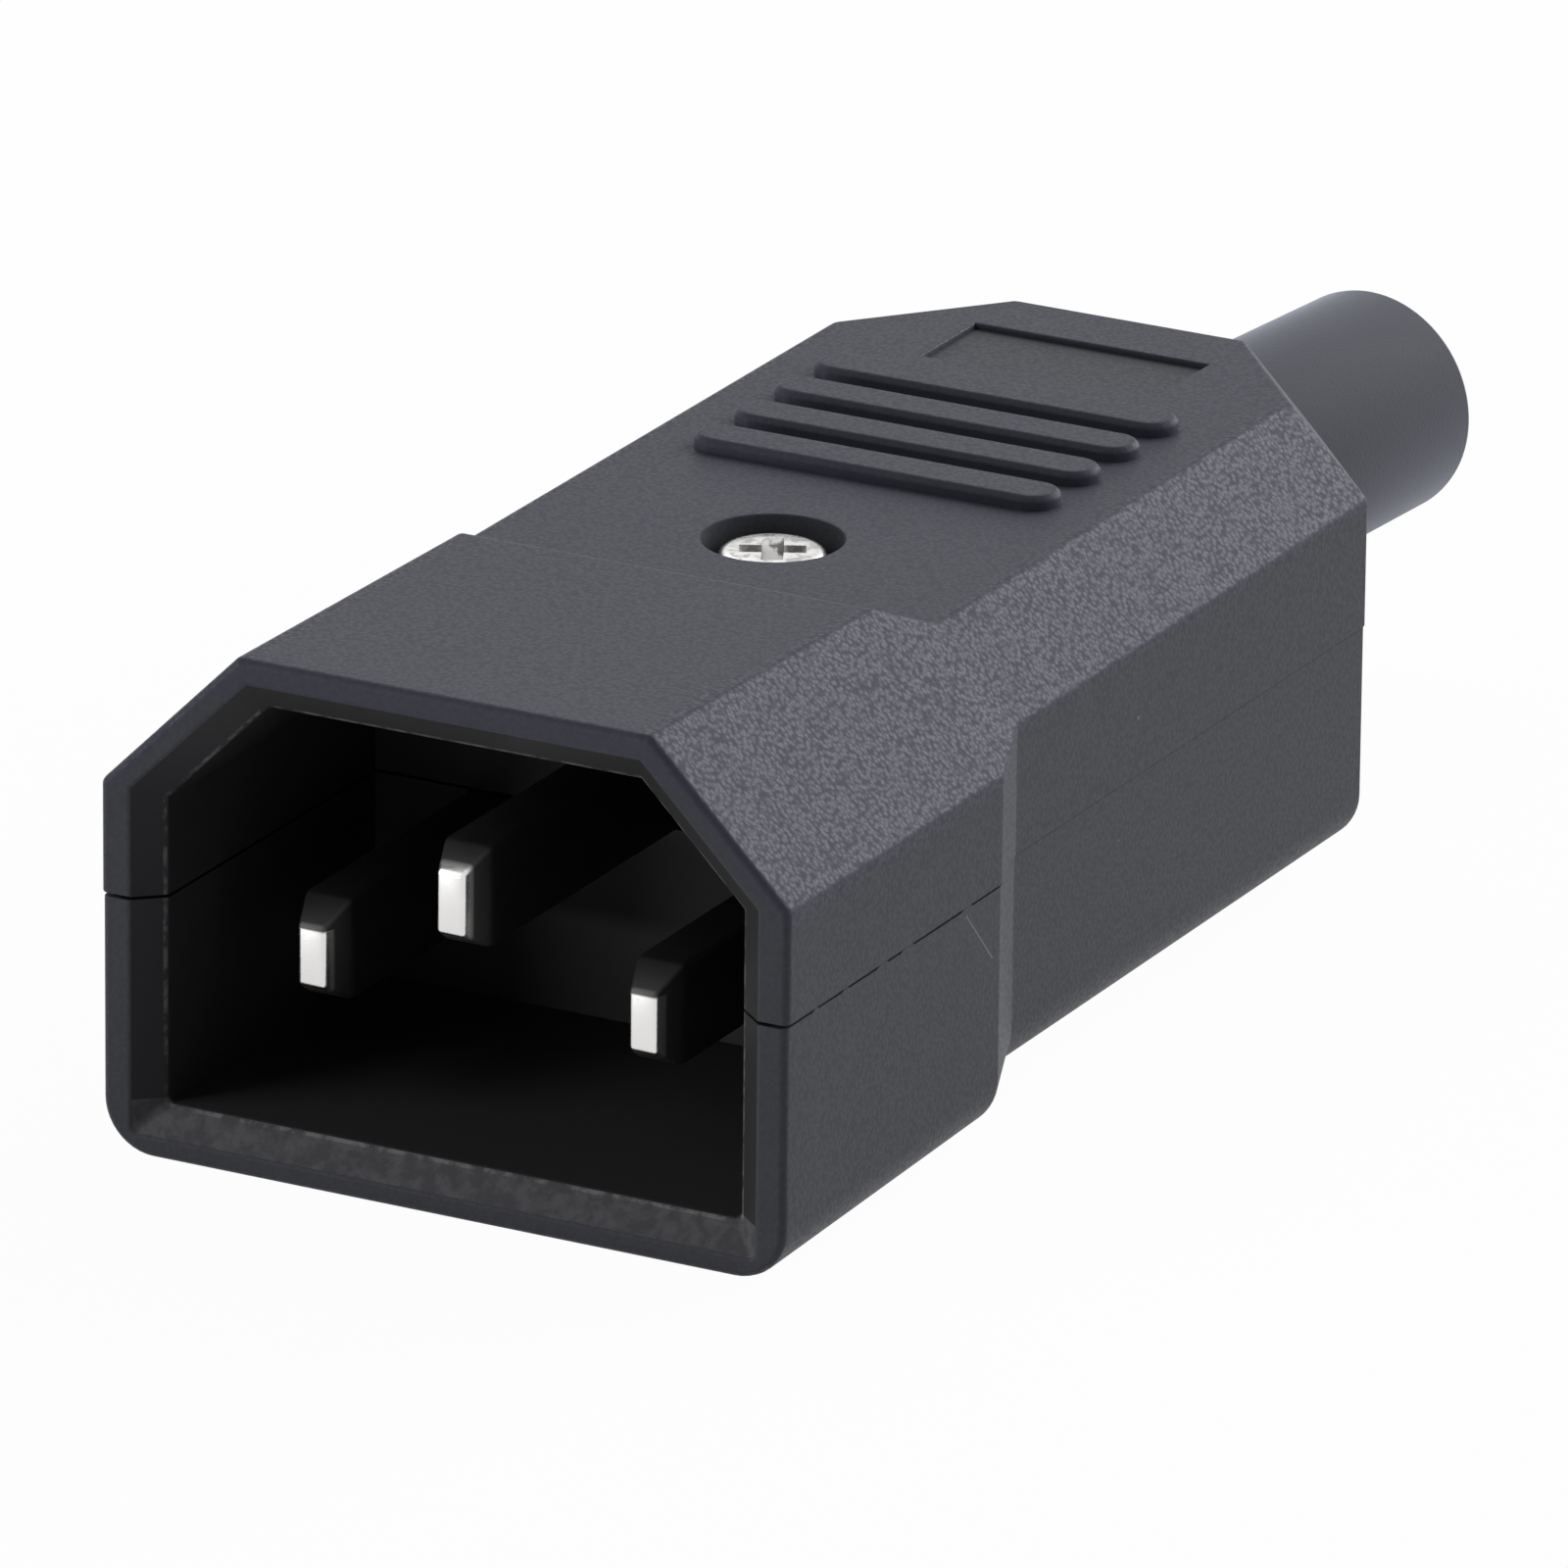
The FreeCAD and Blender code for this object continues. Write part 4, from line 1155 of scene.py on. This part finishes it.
class PLUG_OT_inner_screws(bpy.types.Operator):
    """Models the slotted screws of the terminals and of the cord clamp"""

    bl_idname = "plug.inner_screws"
    bl_label = "Terminal and clamp screws"

    def execute(self, context):
        settings = context.scene.plug_metal
        seats = [top_of(f"{terminal}_clamp_plate") for terminal in TERMINALS]
        length = min(seat.z for seat in seats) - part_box("terminal_screws")[0].z
        self.make_row(settings, "terminal_screws", seats, length, settings.fine_pitch, BLUNT)
        low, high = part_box("cord_clamp_screws")
        middle_y = (low.y + high.y) / 2
        seat_z = high.z - settings.head_height
        sides = (low.x + settings.head_radius, high.x - settings.head_radius)
        seats = [Vector((x, middle_y, seat_z)) for x in sides]
        length = seat_z - low.z
        self.make_row(settings, "cord_clamp_screws", seats, length, settings.coarse_pitch, POINTED)
        return {"FINISHED"}

    def make_row(self, settings, node, seats, length, pitch, end):
        """Models one screw, and puts a copy of it on each seat."""
        name = f"{node}_slotted"
        pattern = ScrewMaker(settings, name, length, pitch, SLOT, end).make()
        copies = [copy_of(pattern, f"{node}_copy", seat) for seat in seats]
        bpy.data.objects.remove(pattern)
        row = join(copies, name)
        finish_piece(row, nickel_plate(), "screw", node)


# Pins, plates and clamp

# Edges that are rounded turn by more than these angles
PIN_EDGE = math.radians(15.0)
PLATE_EDGE = math.radians(60.0)
CLAMP_EDGE = math.radians(40.0)


def softened_copy(node, name, radius, steps, least_turn):
    """A merged copy of a solid, with its edges rounded."""
    piece = merged_copy(node, name)
    round_edges(piece, radius, steps, lambda edge: turn_of(edge) > least_turn)
    smooth(piece)
    return piece


class PLUG_OT_contacts(bpy.types.Operator):
    """Makes the plated pins with softened edges"""

    bl_idname = "plug.contacts"
    bl_label = "Pins with terminals"

    def execute(self, context):
        radius = context.scene.plug_metal.edge_radius
        for terminal in TERMINALS:
            node = f"{terminal}_contact"
            pin = softened_copy(node, f"{node}_plated", radius, RIM_STEPS, PIN_EDGE)
            # Painted shade darkens the pins' blades behind their tips
            plating = nickel_plate("pin_nickel", blade_shade_mask, BLADE_SHADE_TONE)
            finish_piece(pin, plating, "contact", node)
        return {"FINISHED"}


class PLUG_OT_inner_fittings(bpy.types.Operator):
    """Makes the terminal plates and the cord clamp with softened edges"""

    bl_idname = "plug.inner_fittings"
    bl_label = "Terminal plates and cord clamp"

    def execute(self, context):
        radius = context.scene.plug_metal.edge_radius
        for terminal in TERMINALS:
            node = f"{terminal}_clamp_plate"
            plate = softened_copy(node, f"{node}_pressed", radius, EDGE_STEPS, PLATE_EDGE)
            finish_piece(plate, zinc_plate(), "plate", node)
        clamp = softened_copy("cord_clamp", "cord_clamp_moulded", radius, EDGE_STEPS, CLAMP_EDGE)
        plastic = material("clamp_plastic", clamp_plastic, context.scene.plug_housing)
        finish_piece(clamp, plastic, "clamp", "cord_clamp")
        return {"FINISHED"}


# Stage

FLOOR_SIZE = 3.0
SENSOR_WIDTH = 36.0
WHITE = (1.0, 1.0, 1.0, 1.0)

# Each lamp: direction from the object, distance, width and height, power in watts
LAMPS = {
    "rear_softbox": (Vector((0.34, 0.83, 0.44)), 0.6, (0.4, 0.4), 2.75),
    "front_strip": (Vector((-0.65, -0.75, 0.01)), 0.5, (0.35, 0.03), 0.8),
    "front_softbox": (Vector((-0.6, -0.6, 0.55)), 0.8, (0.4, 0.4), 1.4),
    "right_fill": (Vector((0.85, 0.35, 0.45)), 0.7, (0.4, 0.4), 1.4),
    "left_softbox": (Vector((-0.5, 0.5, 0.8)), 0.8, (0.5, 0.5), 1.1),
}


class PLUG_OT_stage(bpy.types.Operator):
    """Sets the floor, the light and the camera"""

    bl_idname = "plug.stage"
    bl_label = "Floor, light and camera"

    def execute(self, context):
        settings = context.scene.plug_stage
        self.floor(settings)
        self.sky(context.scene, settings)
        self.lamps(settings)
        self.camera(context.scene, settings)
        context.scene.view_settings.view_transform = "Standard"
        return {"FINISHED"}

    def floor(self, settings):
        start_clean()
        bpy.ops.mesh.primitive_plane_add(size=FLOOR_SIZE, location=(0.0, 0.0, CAD_BOX[0].z))
        floor = new_piece("floor")
        settle(floor)
        surface = bpy.data.materials.new("pale_floor")
        nodes = Nodes(surface)
        card = nodes.node("ShaderNodeBsdfDiffuse", {}, {"Color": (*settings.floor_colour, 1.0)})
        white = nodes.node("ShaderNodeEmission", {}, {"Strength": 1.0})
        shown = {0: nodes.seen_directly() * settings.floor_white, 1: card, 2: white}
        nodes.end("Material Output", nodes.node("ShaderNodeMixShader", {}, shown))
        floor.data.materials.append(surface)

    def sky(self, scene, settings):
        scene.world = bpy.data.worlds.new("studio")
        nodes = Nodes(scene.world)
        even = {"Color": WHITE, "Strength": settings.sky_strength}
        light = nodes.node("ShaderNodeBackground", {}, even)
        white = nodes.node("ShaderNodeBackground", {}, {"Color": WHITE, "Strength": 1.0})
        shown = {0: nodes.seen_directly(), 1: light, 2: white}
        nodes.end("World Output", nodes.node("ShaderNodeMixShader", {}, shown))

    def lamps(self, settings):
        target = Vector(settings.target)
        for name, (direction, distance, (width, height), power) in LAMPS.items():
            start_clean()
            place = target + direction.normalized() * distance
            bpy.ops.object.light_add(type="AREA", location=place)
            lamp = bpy.context.active_object
            lamp.name = name
            lamp.rotation_euler = direction.to_track_quat("Z", "Y").to_euler()
            lamp.data.shape = "RECTANGLE"
            lamp.data.size = width
            lamp.data.size_y = height
            lamp.data.energy = power

    def camera(self, scene, settings):
        across = Vector((math.cos(settings.azimuth), math.sin(settings.azimuth), 0.0))
        level = math.cos(settings.elevation)
        back = Vector((across.y * level, -across.x * level, math.sin(settings.elevation)))
        roll = Matrix.Rotation(settings.roll, 3, back)
        right = roll @ across
        up = roll @ back.cross(across)
        eye = Vector(settings.target) + back * settings.distance
        eye += right * settings.slide[0] + up * settings.slide[1]
        start_clean()
        bpy.ops.object.camera_add(location=eye)
        camera = bpy.context.active_object
        camera.name = "camera"
        camera.rotation_euler = Matrix((right, up, back)).transposed().to_euler()
        camera.data.sensor_width = SENSOR_WIDTH
        camera.data.lens = settings.lens
        scene.camera = camera


# Sidebar and registration

OPERATORS = (
    PLUG_OT_housing,
    PLUG_OT_cord_boot,
    PLUG_OT_contacts,
    PLUG_OT_cover_screw,
    PLUG_OT_inner_screws,
    PLUG_OT_inner_fittings,
    PLUG_OT_stage,
)
SETTINGS = {
    "plug_housing": HousingSettings,
    "plug_boot": BootSettings,
    "plug_metal": MetalSettings,
    "plug_stage": StageSettings,
}


class PLUG_PT_panel(bpy.types.Panel):
    """Lists the pieces and their settings"""

    bl_label = "Rewireable plug"
    bl_idname = "PLUG_PT_panel"
    bl_space_type = "VIEW_3D"
    bl_region_type = "UI"
    bl_category = "Plug"

    def draw(self, context):
        for operator in OPERATORS:
            self.layout.operator(operator.bl_idname)
        for name, group in SETTINGS.items():
            box = self.layout.box()
            box.label(text=group.__doc__)
            for setting in group.__annotations__:
                box.prop(getattr(context.scene, name), setting)


def register():
    for group in SETTINGS.values():
        bpy.utils.register_class(group)
    for name, group in SETTINGS.items():
        setattr(bpy.types.Scene, name, PointerProperty(type=group))
    for shown in (*OPERATORS, PLUG_PT_panel):
        bpy.utils.register_class(shown)


def unregister():
    for shown in reversed((*OPERATORS, PLUG_PT_panel)):
        bpy.utils.unregister_class(shown)
    for name, group in SETTINGS.items():
        delattr(bpy.types.Scene, name)
        bpy.utils.unregister_class(group)


def main():
    register()
    bpy.ops.plug.housing()
    bpy.ops.plug.cord_boot()
    bpy.ops.plug.contacts()
    bpy.ops.plug.cover_screw()
    bpy.ops.plug.inner_screws()
    bpy.ops.plug.inner_fittings()
    bpy.ops.plug.stage()


if __name__ == "__main__":
    main()
